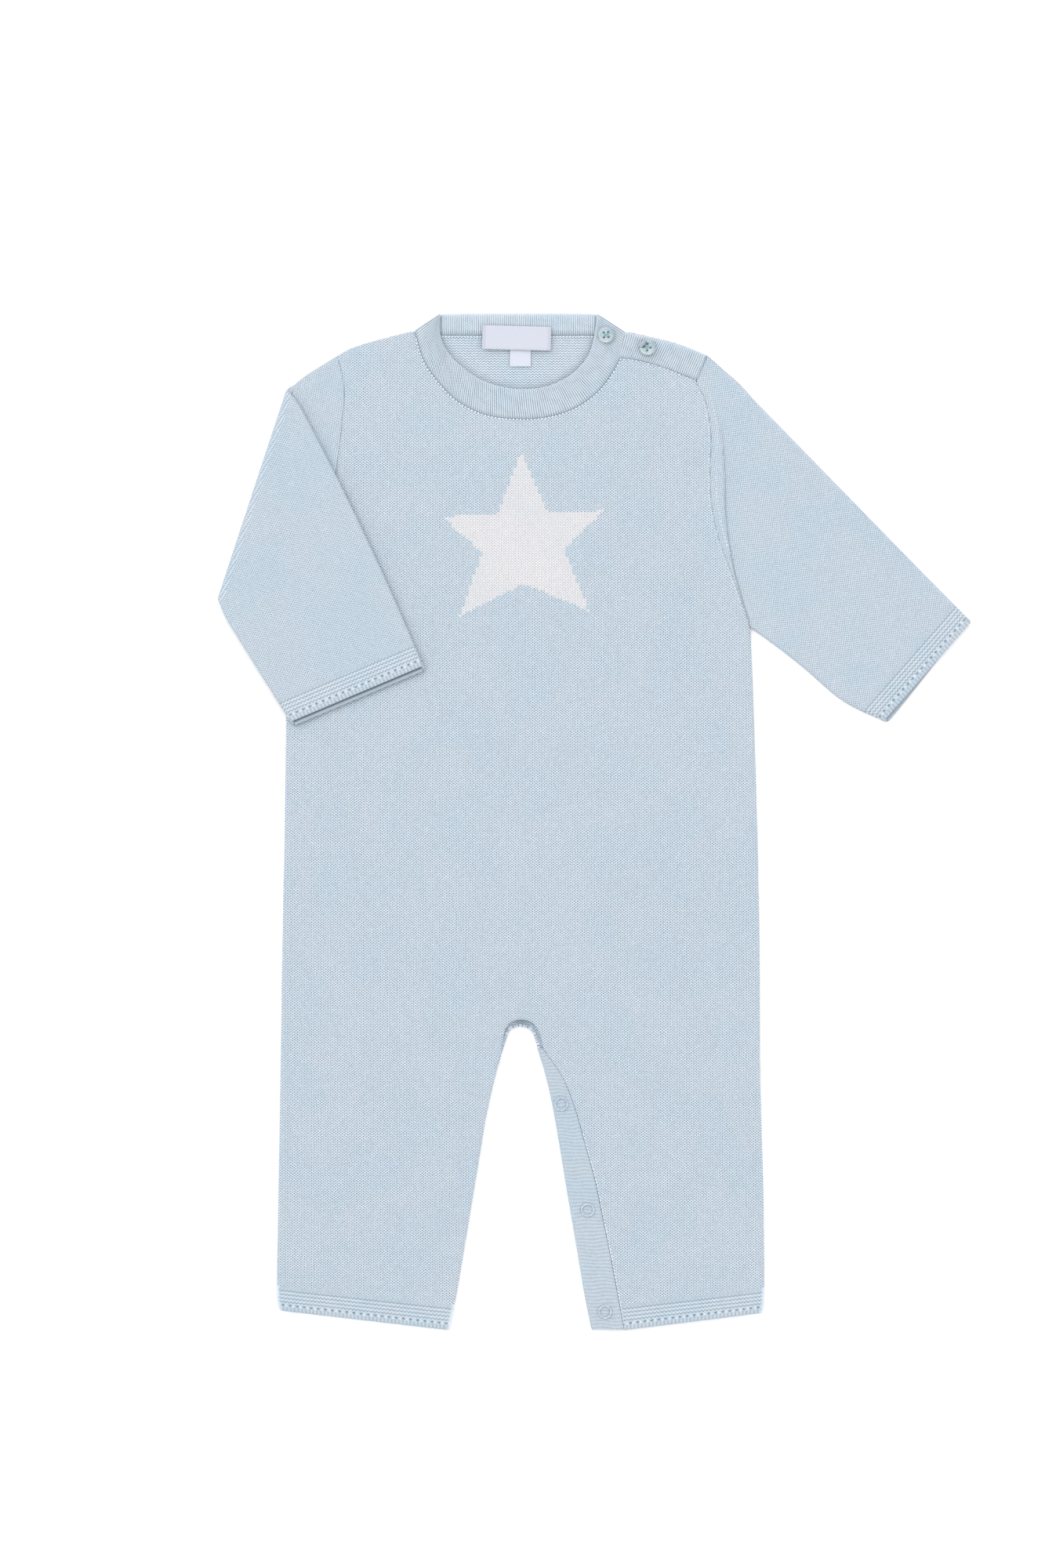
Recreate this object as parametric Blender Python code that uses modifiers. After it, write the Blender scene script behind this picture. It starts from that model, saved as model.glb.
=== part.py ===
"""A baby's fine-knit romper, buttoned on one shoulder and laid flat on a surface.

The romper lies on its back with the neck towards +Y. Its back panel rests on z = 0 and the front
panel lies on it. The wearer's right sleeve is turned back over the chest and the left one lies
straight. Plan sizes are in millimetres: x from the garment's centre line, y from the middle of the
whole garment's length. The cloth is one wall, CLOTH thick, and sewn pieces stay SEAM apart.
"""

import math

import bmesh
import bpy
import numpy as np
from mathutils import Vector
from mathutils.geometry import delaunay_2d_cdt

MM = 0.001

# The cloth and how it lies.
CLOTH = 1.5                 # thickness of one layer of the knit
SEAM = 0.3                  # between two sewn or touching pieces
FRONT_LIES_AT = CLOTH + SEAM
LAYERS = 2 * CLOTH + SEAM   # height of the two layers of a flat tube
FULLNESS = 0.8              # how far the front stands off the back, away from its edges
FULLNESS_REACH = 15.0       # from an edge, where that fullness is two thirds reached
CENTRE = (-39.6, 0.3)       # the centre line and the tables' y = 0, from the middle of the whole
OUTLINE_STEP = 10.0
NECKLINE_STEP = 5.0
LEG_STEP = 5.0
PANEL_GRID = 24.0

# Ribbed pieces.
RIB_HEIGHT = 0.35
NECK_RIB_PITCH = 1.15
LEG_RIB_PITCH = 1.95

# Shoulder line from the tip inwards, and the armhole seams from shoulder to underarm: x, y.
SHOULDER_LEFT = (
    (-98.3, 249.3), (-92.8, 252.6), (-86.1, 255.2), (-77.3, 257.7), (-68.0, 260.2), (-57.2, 262.8))
SHOULDER_RIGHT = (
    (57.2, 262.5), (67.6, 260.2), (78.1, 257.7), (86.5, 255.2), (93.2, 252.6), (100.0, 249.7))
ARMHOLE_RIGHT = (
    (100.0, 249.7), (94.2, 236.4), (99.0, 225.5), (102.0, 208.0), (101.6, 190.0),
    (102.2, 171.5), (106.0, 152.0), (111.5, 137.0), (117.5, 120.0), (123.1, 104.0))
ARMHOLE_LEFT = (
    (-98.3, 249.3), (-95.6, 239.0), (-94.5, 228.0), (-95.9, 212.0), (-97.8, 196.0),
    (-100.2, 179.0), (-104.5, 160.0), (-110.5, 143.0), (-118.0, 127.0), (-125.6, 112.0))

# Body sides: y, half width on the left, half width on the right.
BODY_SIDES = (
    (112.0, 125.6, None), (104.0, 125.6, 123.1), (66.2, 125.6, 124.7), (-1.0, 126.4, 126.8),
    (-68.3, 127.7, 128.1), (-135.5, 128.7, 128.5), (-202.7, 129.8, 130.2), (-253.0, 130.6, 130.6))
HEM_LEFT = ((-128.9, -262.3), (-38.2, -272.8))
HEM_RIGHT = ((38.2, -272.8), (55.9, -272.0), (129.4, -263.6))

# The gap between the legs: depth below the crotch, half width.
CROTCH_Y = -110.0
LEG_GAP = (
    (0.0, 0.0), (1.0, 4.0), (3.2, 6.4), (8.6, 8.3), (17.0, 10.9), (25.4, 13.2), (33.9, 15.3),
    (50.7, 18.9), (67.5, 21.6), (92.7, 25.8), (118.0, 30.0), (143.0, 34.2), (162.8, 38.2))
# The front is cut a little higher than the back there: x, y, from the leg placket leftwards.
FRONT_CROTCH = (
    (12.1, -121.0), (10.6, -115.5), (7.8, -110.0), (4.2, -107.2), (0.0, -106.4), (-4.2, -107.4),
    (-7.8, -111.0), (-9.6, -118.6), (-10.9, -127.0))

# The neckband's front stretch, from the left shoulder round to the right one:
# x and y on its seam, x and y on its free edge.
NECKBAND_FRONT = (
    (-56.4, 262.9, -42.8, 272.0), (-51.6, 247.0, -43.4, 263.0), (-42.3, 233.7, -39.6, 252.5),
    (-32.3, 224.5, -29.6, 242.0), (-18.3, 218.0, -18.0, 235.3), (-2.7, 215.9, -4.0, 231.9),
    (12.8, 216.6, 9.7, 232.2), (28.4, 221.3, 20.6, 235.6), (40.8, 230.0, 29.8, 241.8),
    (48.6, 240.0, 36.4, 250.0), (53.2, 249.0, 39.4, 260.2), (56.2, 261.9, 40.9, 271.9))
# Its back stretch: x, y on the seam, y on the free edge, height.
NECKBAND_BACK = (
    (-54.5, 262.2, 264.0, 1.5), (-46.0, 261.2, 269.6, 1.5), (-42.4, 260.9, 271.4, 1.5),
    (-38.0, 260.6, 272.0, 2.3), (0.0, 260.6, 272.2, 2.3), (36.0, 260.6, 272.0, 2.3),
    (40.4, 260.8, 271.4, 1.5), (46.0, 261.0, 268.6, 1.5), (54.5, 261.2, 262.8, 1.5))
# Across a neckband: share of its width from the seam, height, share of the ribs' height there.
NECKBAND_SECTION = (
    (0.0, 0.0, 0.0), (0.0, 1.7, 0.0), (0.28, 2.7, 1.0), (0.84, 2.6, 1.0), (1.0, 0.9, 0.2))
BACK_BAND_SECTION = (
    (0.0, 0.0, 0.0), (0.0, 0.85, 0.0), (0.25, 1.0, 0.8), (0.80, 1.0, 0.8), (1.0, 0.45, 0.0))

# Button placket on the right shoulder: x and y on its seam, x and y on its upper edge.
SHOULDER_PLACKET = (
    (53.7, 248.2, 56.9, 261.9), (61.7, 247.4, 67.0, 260.0), (70.0, 245.3, 76.0, 257.9),
    (79.0, 242.3, 84.6, 255.4), (87.0, 239.2, 92.4, 252.7), (93.2, 236.6, 98.9, 249.9))
# Button placket down the inside of the right leg: y, x on the free edge, x on the seam.
LEG_PLACKET = (
    (-121.6, 9.0, 11.8), (-136.7, 13.6, 22.3), (-154.4, 17.5, 29.4), (-170.7, 20.4, 34.0),
    (-192.2, 23.9, 39.9), (-210.6, 27.0, 43.7), (-233.3, 30.9, 48.3), (-251.0, 34.0, 51.6),
    (-272.4, 38.4, 55.6))
PLACKET_SECTION = (
    (0.0, 0.0, 0.0), (0.0, 1.6, 0.0), (0.15, 1.9, 1.0), (0.85, 1.9, 1.0), (1.0, 0.8, 0.2))

# The straight sleeve: its upper and under edges outwards from the armhole.
SLEEVE_TOP_EDGE = (
    (100.0, 249.7), (107.9, 242.8), (117.6, 234.2), (125.2, 225.8), (141.5, 209.0),
    (174.3, 175.4), (207.1, 141.8), (241.5, 106.9))
SLEEVE_UNDER_EDGE = ((123.1, 104.0), (151.2, 83.0), (172.6, 65.2), (195.3, 54.4))
# Along it: share of its length, height of the soft fold that lies along the armhole.
SLEEVE_ROWS = (
    (0.0, 0.0), (0.018, 0.7), (0.036, 1.4), (0.05, 1.6), (0.06, 0.3), (0.08, 0.0), (0.16, 0.3),
    (0.28, 0.4), (0.40, 0.4), (0.52, 0.4), (0.64, 0.4), (0.76, 0.4), (0.88, 0.3), (1.0, 0.1))

# The turned-back sleeve: the ends of its fold line and the corners of its cuff, where they lie.
FOLD_TOP = (-123.5, 237.2)
FOLD_UNDER = (-162.4, 119.0)
CUFF_TOP = (-51.9, 83.2)
CUFF_UNDER = (-123.0, 53.2)
CUFF_SLIP = 3.0             # how far its lower layer shows past the upper one at the cuff
FOLD_EDGE_BULGE = 3.0       # how far its long free edge bows out
FOLD_STEPS = 6
BASE_ROWS = 3
TURNED_ROWS = 10
FOLD_CLEARANCE = 0.6        # between the turned-back part and what it lies on

# Buttons, snaps and labels.
BUTTON_RADIUS = 4.35
BUTTON_THICK = 2.0
BUTTON_DISH_RADIUS = 2.9
BUTTON_DISH_DEPTH = 0.6
BUTTON_EDGE = 0.5
BUTTON_HOLE_RADIUS = 0.65
BUTTON_HOLE_SPACING = 1.15  # of each hole from the button's middle, along both axes
BUTTON_SIDES = 24
# name, x, y, height it is sewn on at
BUTTONS = (("button_neck", 45.8, 260.3, 4.95), ("button_shoulder", 67.9, 253.7, 4.45))
SNAP_RADIUS = 3.3           # of the ring's middle
SNAP_RING_RADIUS = 0.4
SNAP_SEATED_AT = 4.15
SNAPS = ((21.8, -151.4), (35.9, -208.1), (45.2, -262.7))
SNAP_SIDES = 24
RIBBON = 1.0                # thickness of a label
# name, x, y of its middle, width, length, turn in degrees, height it lies at
LABELS = (
    ("woven_label", -2.1, 258.9, 36.8, 12.7, -1.5, FRONT_LIES_AT + RIBBON + SEAM),
    ("size_tab", -0.1, 248.8, 11.2, 10.2, 0.0, FRONT_LIES_AT))

# Material colours are linear RGB: colour, roughness, metallic.
FINISHES = {
    "knit": ((0.58, 0.67, 0.77), 0.95, 0.0),
    "rib": ((0.55, 0.65, 0.75), 0.95, 0.0),
    "shell": ((0.60, 0.74, 0.76), 0.25, 0.0),
    "snap": ((0.50, 0.62, 0.72), 0.45, 0.3),
    "ribbon": ((0.76, 0.78, 0.88), 0.6, 0.0),
}


# Lines in the plan.

def curve_through(points, step=None, count=None):
    """Even points on the smooth curve through the given ones, by step or by count."""
    knots = np.array(points, dtype=float)
    padded = np.vstack((2 * knots[0] - knots[1], knots, 2 * knots[-1] - knots[-2]))
    before, start, end, after = padded[:-3], padded[1:-2], padded[2:-1], padded[3:]
    pieces = []
    for t in np.linspace(0.0, 1.0, 16, endpoint=False):
        pieces.append(0.5 * (2 * start + (end - before) * t
                             + (2 * before - 5 * start + 4 * end - after) * t ** 2
                             + (3 * start - 3 * end + after - before) * t ** 3))
    fine = np.vstack((np.stack(pieces, axis=1).reshape(-1, knots.shape[1]), knots[-1:]))
    plan_steps = np.linalg.norm(np.diff(fine[:, :2], axis=0), axis=1)
    along = np.concatenate(([0.0], np.cumsum(plan_steps)))
    count = count or max(2, round(along[-1] / step) + 1)
    wanted = np.linspace(0.0, along[-1], count)
    return np.column_stack([np.interp(wanted, along, column) for column in fine.T])


def beside(line, distance):
    """The line moved to its left by a distance, each point along its own normal."""
    line = np.asarray(line, dtype=float)
    heading = np.gradient(line, axis=0)
    heading /= np.linalg.norm(heading, axis=1, keepdims=True)
    return line + distance * np.column_stack((-heading[:, 1], heading[:, 0]))


def joined(*lines):
    """One closed outline from lines that follow each other, with no point twice."""
    points = np.vstack([np.asarray(line, dtype=float) for line in lines])
    steps = np.linalg.norm(points - np.roll(points, 1, axis=0), axis=1)
    return points[steps > SEAM]


def distance_to_line(points, line, closed=False):
    """Distance in the plan from each point to a line of straight stretches."""
    points, line = np.asarray(points, dtype=float), np.asarray(line, dtype=float)
    start, end = line[:-1], line[1:]
    if closed:
        start, end = line, np.roll(line, -1, axis=0)
    along = end - start
    offset = points[:, None, :] - start[None]
    share = np.clip((offset * along).sum(2) / (along ** 2).sum(1), 0.0, 1.0)
    return np.linalg.norm(offset - share[..., None] * along, axis=2).min(1)


def inside(points, outline):
    """Which points lie inside a closed outline, by counting crossings."""
    points = np.asarray(points, dtype=float)
    x, y = points[:, 0, None], points[:, 1, None]
    start, end = outline, np.roll(outline, -1, axis=0)
    spans = (start[:, 1] > y) != (end[:, 1] > y)
    rise = np.where(end[:, 1] == start[:, 1], 1.0, end[:, 1] - start[:, 1])
    crossing = start[:, 0] + (y - start[:, 1]) * (end[:, 0] - start[:, 0]) / rise
    return (spans & (x < crossing)).sum(1) % 2 == 1


def grid_inside(outline, spacing, margin):
    """Points of a staggered grid that lie inside an outline, clear of its edge."""
    low, high = outline.min(0), outline.max(0)
    rows = np.arange(low[1] + spacing / 2, high[1], spacing * math.sqrt(0.75))
    points = []
    for index, y in enumerate(rows):
        shift = spacing / 2 if index % 2 else 0.0
        points += [(x, y) for x in np.arange(low[0] + shift, high[0], spacing)]
    points = np.array(points)
    clear = distance_to_line(points, outline, closed=True) > margin
    return points[clear & inside(points, outline)]


# Objects.

def finish_material(name, finish):
    """A material of its own for one piece."""
    colour, roughness, metallic = FINISHES[finish]
    material = bpy.data.materials.new(name)
    material.use_nodes = True
    shader = material.node_tree.nodes["Principled BSDF"]
    shader.inputs["Base Color"].default_value = (*colour, 1.0)
    shader.inputs["Roughness"].default_value = roughness
    shader.inputs["Metallic"].default_value = metallic
    material.diffuse_color = (*colour, 1.0)
    return material


def add_piece(name, mesh, collection, finish, sharp_angle=40.0):
    """Link one piece, with its material, smooth shading and sharp corners."""
    piece = bpy.data.objects.new(name, mesh)
    collection.objects.link(piece)
    mesh.materials.append(finish_material(name, finish))
    mesh.shade_smooth()
    mesh.set_sharp_from_angle(angle=math.radians(sharp_angle))
    return piece


def closed_mesh(name, points, faces):
    """A mesh from points in plan millimetres, welded and with its faces outwards."""
    world = (np.asarray(points, dtype=float) + (*CENTRE, 0.0)) * MM
    mesh = bpy.data.meshes.new(name)
    mesh.from_pydata(world.tolist(), [], faces)
    shape = bmesh.new()
    shape.from_mesh(mesh)
    bmesh.ops.remove_doubles(shape, verts=shape.verts, dist=1e-6)
    bmesh.ops.triangulate(shape, faces=shape.faces)
    bmesh.ops.recalc_face_normals(shape, faces=shape.faces)
    shape.to_mesh(mesh)
    shape.free()
    return mesh


def layer_faces(outline, extra):
    """Triangles over an outline and some points inside it."""
    plan = [Vector(point) for point in np.vstack((outline, extra)).tolist()]
    border = list(range(len(outline)))
    edges = [(index, (index + 1) % len(outline)) for index in border]
    points, _, faces, *_ = delaunay_2d_cdt(plan, edges, [border], 1, 1e-6)
    return np.array([tuple(point) for point in points]), faces


def panel_mesh(name, outline, under, over, under_points, over_points):
    """A cut piece of cloth between two height functions of the plan, with upright edges."""
    points, faces = [], []
    for height, extra in ((under, under_points), (over, over_points)):
        plan, triangles = layer_faces(outline, extra)
        base = len(points)
        points += np.column_stack((plan, height(plan))).tolist()
        faces += [tuple(base + corner for corner in triangle) for triangle in triangles]
    low, high = len(points), len(points) + len(outline)
    points += np.column_stack((outline, under(outline))).tolist()
    points += np.column_stack((outline, over(outline))).tolist()
    for index in range(len(outline)):
        after = (index + 1) % len(outline)
        faces.append((low + index, low + after, high + after, high + index))
    return closed_mesh(name, points, faces)


def ring_faces(rows, size, base=0, first=True, last=True):
    """Faces of a tube of rings with the same number of points, capped at either end or not."""
    faces = []
    for row in range(rows - 1):
        start = base + row * size
        for index in range(size):
            after = (index + 1) % size
            faces.append((start + index, start + after, start + size + after, start + size + index))
    if first:
        faces.append(tuple(range(base, base + size)))
    if last:
        faces.append(tuple(range(base + (rows - 1) * size, base + rows * size)))
    return faces


def ribbed_strip_mesh(name, stations, section, pitch, lies_at, height_scale=None):
    """A strip with ribs across it: a ring at each crest and each valley along it.

    A station holds x and y on the seam, then x and y on the free edge.
    """
    middle = (stations[:, :2] + stations[:, 2:4]) / 2
    length = np.linalg.norm(np.diff(middle, axis=0), axis=1).sum()
    ribs = round(length / pitch)
    rows = curve_through(np.column_stack((middle, stations)), count=2 * ribs + 1)[:, 2:]
    points = []
    for index, row in enumerate(rows):
        seam, edge = row[:2], row[2:4]
        scale = row[4] if height_scale else 1.0
        crest = RIB_HEIGHT if index % 2 else 0.0
        for across, height, rib_share in section:
            x, y = seam + (edge - seam) * across
            points.append((x, y, lies_at + height * scale + crest * rib_share))
    return closed_mesh(name, points, ring_faces(len(rows), len(section)))


# The body.

def side_line(column, first_y):
    """One side of the body, downwards: column 1 is the left one and column 2 the right one."""
    sign = -1 if column == 1 else 1
    rows = [(sign * row[column], row[0]) for row in BODY_SIDES if row[column] and row[0] <= first_y]
    return curve_through(rows, OUTLINE_STEP)


def leg_gap_line():
    """The edge of the gap between the legs, from the right leg's hem over the crotch to the left."""
    right = [(half, CROTCH_Y - depth) for depth, half in reversed(LEG_GAP)]
    left = [(-half, CROTCH_Y - depth) for depth, half in LEG_GAP[1:]]
    return curve_through(right + left, LEG_STEP)


def edge_drop(plan, folded_lines):
    """How far the outer face falls towards folded edges, where the cloth turns round them."""
    near = np.min([distance_to_line(plan, line) for line in folded_lines], axis=0)
    short = np.clip(1.0 - near / CLOTH, 0.0, 1.0)
    return (CLOTH - SEAM) * short ** 2


def fold_rings(folded_lines, outline):
    """Points one wall's thickness in from folded edges, where the turn ends."""
    candidates = []
    for line in folded_lines:
        candidates += [beside(line, CLOTH), beside(line, -CLOTH)]
    points = np.vstack(candidates)
    clear = distance_to_line(points, outline, closed=True) > 0.9 * CLOTH
    return points[clear & inside(points, outline)]


def back_panel(collection):
    """The back, flat underneath and inside, with its neckline on the neckband's back seam."""
    shoulder_left = curve_through(SHOULDER_LEFT, OUTLINE_STEP)
    shoulder_right = curve_through(SHOULDER_RIGHT, OUTLINE_STEP)
    neckline = [(x, seam - SEAM) for x, seam, _, _ in NECKBAND_BACK]
    right, left = side_line(2, 104.0), side_line(1, 112.0)
    gap = leg_gap_line()
    outline = joined(
        shoulder_left, neckline, shoulder_right, ARMHOLE_RIGHT, right, reversed_line(HEM_RIGHT),
        gap, reversed_line(HEM_LEFT), left[::-1], reversed_line(ARMHOLE_LEFT))
    folded = (shoulder_left, shoulder_right, right, left, gap)
    rings = fold_rings(folded, outline)
    mesh = panel_mesh(
        "back_panel", outline,
        under=lambda plan: edge_drop(plan, folded),
        over=lambda plan: np.full(len(plan), CLOTH),
        under_points=rings, over_points=np.empty((0, 2)))
    return add_piece("back_panel", mesh, collection, "knit")


def reversed_line(line):
    """The same line walked the other way."""
    return np.asarray(line, dtype=float)[::-1]


def front_outline():
    """The front's outline, clockwise from the left shoulder, and its folded edges."""
    shoulder = curve_through(SHOULDER_LEFT, OUTLINE_STEP)
    band = np.array(NECKBAND_FRONT)[:, :2]
    neckline = beside(curve_through(band, NECKLINE_STEP), -SEAM)[1:-2]
    placket = curve_through(np.array(SHOULDER_PLACKET)[:, :2], NECKLINE_STEP)
    placket = beside(placket, -SEAM)
    armhole = np.array(ARMHOLE_RIGHT[1:]) - (0.0, SEAM)
    right, left = side_line(2, 104.0 - SEAM), side_line(1, 112.0)
    hem_right = [point for point in reversed_line(HEM_RIGHT) if point[0] > LEG_PLACKET[-1][2] + SEAM]
    leg_seam = np.array([(seam + SEAM, y) for y, _, seam in LEG_PLACKET])
    leg_seam = curve_through(leg_seam, LEG_STEP)[::-1]
    crotch = curve_through(FRONT_CROTCH, LEG_STEP)
    left_leg = np.array([point for point in leg_gap_line() if point[0] < 0 and point[1] < -130.0])
    outline = joined(
        shoulder, neckline, placket, armhole, right, hem_right, leg_seam, crotch, left_leg,
        reversed_line(HEM_LEFT), left[::-1], reversed_line(ARMHOLE_LEFT))
    return outline, (shoulder, right, crotch, left_leg, left)


def fullness(plan, outline):
    """How far the front stands off the back, from its distance to the front's own edges."""
    depth = np.where(inside(plan, outline), distance_to_line(plan, outline, closed=True), 0.0)
    return FULLNESS * (1.0 - np.exp(-depth / FULLNESS_REACH))


def front_panel(collection):
    """The front, a wall that follows its fullness on both faces."""
    outline, folded = front_outline()
    grid = grid_inside(outline, PANEL_GRID, PANEL_GRID / 3)
    points = np.vstack((fold_rings(folded, outline), grid))

    def under(plan):
        return FRONT_LIES_AT + fullness(plan, outline)

    def over(plan):
        return under(plan) + CLOTH - edge_drop(plan, folded)

    mesh = panel_mesh("front_panel", outline, under, over, points, points)
    return add_piece("front_panel", mesh, collection, "knit")


# The sleeves.

def sleeve_ring(row, thick_in, lift):
    """One ring round a flattened sleeve, thick_in inside its outer face, through a row of points.

    The row runs from the upper edge to the under edge. Each point is x, y, height and which
    layer it is on: 0 below, 1 above and a half on the edges.
    """
    radius = LAYERS / 2 - thick_in
    low, high = thick_in, LAYERS - thick_in
    middle = LAYERS / 2

    def from_end(end, towards, distance):
        step = towards - end
        return end + step * distance / np.linalg.norm(step)

    turn = radius * (1.0 - math.sqrt(0.5))
    ring = [(*from_end(row[0], row[1], thick_in), middle + lift / 2, 0.5)]
    for layer, height, line in ((1, high + lift, row), (0, low, row[::-1])):
        near_turn = middle + (radius if layer else -radius) * math.sqrt(0.5) + lift * layer
        ring.append((*from_end(line[0], line[1], thick_in + turn), near_turn, layer))
        ring.append((*from_end(line[0], line[1], LAYERS / 2), height, layer))
        ring += [(*point, height, layer) for point in line[1:-1]]
        ring.append((*from_end(line[-1], line[-2], LAYERS / 2), height, layer))
        ring.append((*from_end(line[-1], line[-2], thick_in + turn), near_turn, layer))
        if layer:
            ring.append((*from_end(line[-1], line[-2], thick_in), middle + lift / 2, 0.5))
    return ring


def sleeve_mesh(name, rows, lifts, move):
    """A flattened tube of cloth, open at both ends, moved to where it lies.

    The move takes the rings' points and the row that each is on, and gives their places.
    """
    outer = [sleeve_ring(row, 0.0, lift) for row, lift in zip(rows, lifts)]
    inner = [sleeve_ring(row, CLOTH, lift) for row, lift in zip(rows, lifts)]
    count, size = len(rows), len(outer[0])
    points = move(np.array(outer + inner).reshape(-1, 4), np.repeat(np.tile(range(count), 2), size))
    faces = ring_faces(count, size, 0, first=False, last=False)
    faces += ring_faces(count, size, count * size, first=False, last=False)
    for row in (0, count - 1):
        near, far = row * size, (count + row) * size
        for index in range(size):
            after = (index + 1) % size
            faces.append((near + index, near + after, far + after, far + index))
    return closed_mesh(name, points, faces)


def patch_row(share, armhole, cuff, top_edge, under_edge):
    """Points across a sleeve at a share of its length, fitted to its four edges."""
    along_top = curve_at(top_edge, share)
    along_under = curve_at(under_edge, share)
    row = (1 - share) * armhole + share * cuff
    across = np.linspace(0.0, 1.0, len(row))[:, None]
    return row + (along_top - row[0]) * (1 - across) + (along_under - row[-1]) * across


def curve_at(line, share):
    """The point at a share of the length of a smooth curve."""
    points = curve_through(line, count=100)
    shares = np.linspace(0.0, 1.0, len(points))
    return np.array([np.interp(share, shares, column) for column in points.T])


def even_line(start, end, count):
    """Even points on a straight line."""
    return np.linspace(np.asarray(start, dtype=float), np.asarray(end, dtype=float), count)


def sleeve_straight(collection):
    """The wearer's left sleeve, flat on the surface, with a soft fold along its armhole."""
    armhole = np.array(ARMHOLE_RIGHT) + (SEAM, 0.0)
    top_edge = np.array(SLEEVE_TOP_EDGE) + (SEAM, 0.0)
    under_edge = np.array(SLEEVE_UNDER_EDGE) + (SEAM, 0.0)
    cuff = even_line(top_edge[-1], under_edge[-1], len(armhole))
    rows = [patch_row(share, armhole, cuff, top_edge, under_edge) for share, _ in SLEEVE_ROWS]
    lifts = [lift for _, lift in SLEEVE_ROWS]
    mesh = sleeve_mesh("sleeve_straight", rows, lifts, lambda points, _: points[:, :3])
    return add_piece("sleeve_straight", mesh, collection, "knit")


class FoldLine:
    """The line a sleeve is turned back about, and the plan's axes along and across it."""

    def __init__(self):
        self.axis_height = LAYERS + FOLD_CLEARANCE / 2
        self.turn_length = math.pi * (self.axis_height - LAYERS / 2)
        top, under = np.array(FOLD_TOP), np.array(FOLD_UNDER)
        self.length = np.linalg.norm(under - top)
        self.along = (under - top) / self.length
        self.outward = np.array((self.along[1], -self.along[0]))
        self.start = top - self.outward * self.axis_height

    def flat_place(self, lying):
        """Where a point that now lies on the chest was before the sleeve was turned back."""
        offset = np.asarray(lying) - self.start
        return self.place(offset @ self.along, self.turn_length - offset @ self.outward)

    def place(self, along, outward):
        """A plan point from its distances along and outward from the fold."""
        return self.start + along * self.along + outward * self.outward

    def turned(self, points):
        """Points of the flat sleeve after the part beyond the fold is turned back over it."""
        offset = points[:, :2] - self.start
        along, outward = offset @ self.along, offset @ self.outward
        radius = self.axis_height - points[:, 2]
        angle = np.clip(outward / self.turn_length, 0.0, 1.0) * math.pi
        beyond = np.clip(outward - self.turn_length, 0.0, None)
        lies_outward = np.where(outward < 0.0, outward, radius * np.sin(angle) - beyond)
        height = self.axis_height - radius * np.cos(angle)
        plan = self.start + along[:, None] * self.along + lies_outward[:, None] * self.outward
        return np.column_stack((plan, height)), beyond > 0.0


def sleeve_folded(collection):
    """The wearer's right sleeve, turned back over the chest along a slanted fold."""
    fold = FoldLine()
    armhole = beside(ARMHOLE_LEFT, -SEAM)
    count = len(armhole)
    cuff_top, cuff_under = fold.flat_place(CUFF_TOP), fold.flat_place(CUFF_UNDER)
    fold_first = even_line(fold.place(0.0, 0.0), fold.place(fold.length, 0.0), count)
    top_slope = (cuff_top - fold_first[0]) @ fold.along / ((cuff_top - fold_first[0]) @ fold.outward)
    under_slope = (cuff_under - fold_first[-1]) @ fold.along / (
        (cuff_under - fold_first[-1]) @ fold.outward)

    rows = []
    for share in np.linspace(0.0, 1.0, BASE_ROWS, endpoint=False):
        rows.append((1 - share) * armhole + share * fold_first)
    for outward in np.linspace(0.0, fold.turn_length, FOLD_STEPS + 1):
        top = fold.place(top_slope * outward, outward)
        under = fold.place(fold.length + under_slope * outward, outward)
        rows.append(even_line(top, under, count))
    last_turn = rows[-1]
    cuff = even_line(cuff_top, cuff_under, count)
    bow = -fold.along * FOLD_EDGE_BULGE
    for share in np.linspace(0.0, 1.0, TURNED_ROWS + 1)[1:]:
        row = (1 - share) * last_turn + share * cuff
        across = np.linspace(1.0, 0.0, count)[:, None]
        rows.append(row + bow * math.sin(math.pi * share) * across ** 2)

    chest, _ = front_outline()
    first_turned = len(rows) - 1 - TURNED_ROWS
    lengthwise = (cuff_top + cuff_under) / 2 - last_turn.mean(0)
    lengthwise /= np.linalg.norm(lengthwise)

    def move(points, row):
        slip = CUFF_SLIP * np.clip((row - first_turned) / TURNED_ROWS, 0.0, 1.0) * points[:, 3]
        points[:, :2] += slip[:, None] * lengthwise
        lying, turned_back = fold.turned(points)
        lying[:, 2] += np.where(turned_back, fullness(lying[:, :2], chest), 0.0)
        return lying

    mesh = sleeve_mesh("sleeve_folded", rows, [0.0] * len(rows), move)
    return add_piece("sleeve_folded", mesh, collection, "knit")


# The ribbed pieces.

def neckband(collection):
    """The neckband: its front stretch lies over the ends of its back stretch."""
    front = ribbed_strip_mesh(
        "neckband_front", np.array(NECKBAND_FRONT), NECKBAND_SECTION, NECK_RIB_PITCH, FRONT_LIES_AT)
    add_piece("neckband_front", front, collection, "rib")
    stations = np.array([(x, seam, x, edge, high) for x, seam, edge, high in NECKBAND_BACK])
    back = ribbed_strip_mesh(
        "neckband_back", stations, BACK_BAND_SECTION, NECK_RIB_PITCH, 0.0, height_scale=True)
    add_piece("neckband_back", back, collection, "rib")


def plackets(collection):
    """The button plackets, on the right shoulder and down the inside of the right leg."""
    shoulder = ribbed_strip_mesh(
        "shoulder_placket", np.array(SHOULDER_PLACKET), PLACKET_SECTION, NECK_RIB_PITCH,
        FRONT_LIES_AT)
    add_piece("shoulder_placket", shoulder, collection, "rib")
    stations = np.array([(seam, y, edge, y) for y, edge, seam in LEG_PLACKET])
    leg = ribbed_strip_mesh(
        "leg_placket", stations, PLACKET_SECTION, LEG_RIB_PITCH, FRONT_LIES_AT)
    add_piece("leg_placket", leg, collection, "rib")


# Buttons, snaps and labels.

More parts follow.
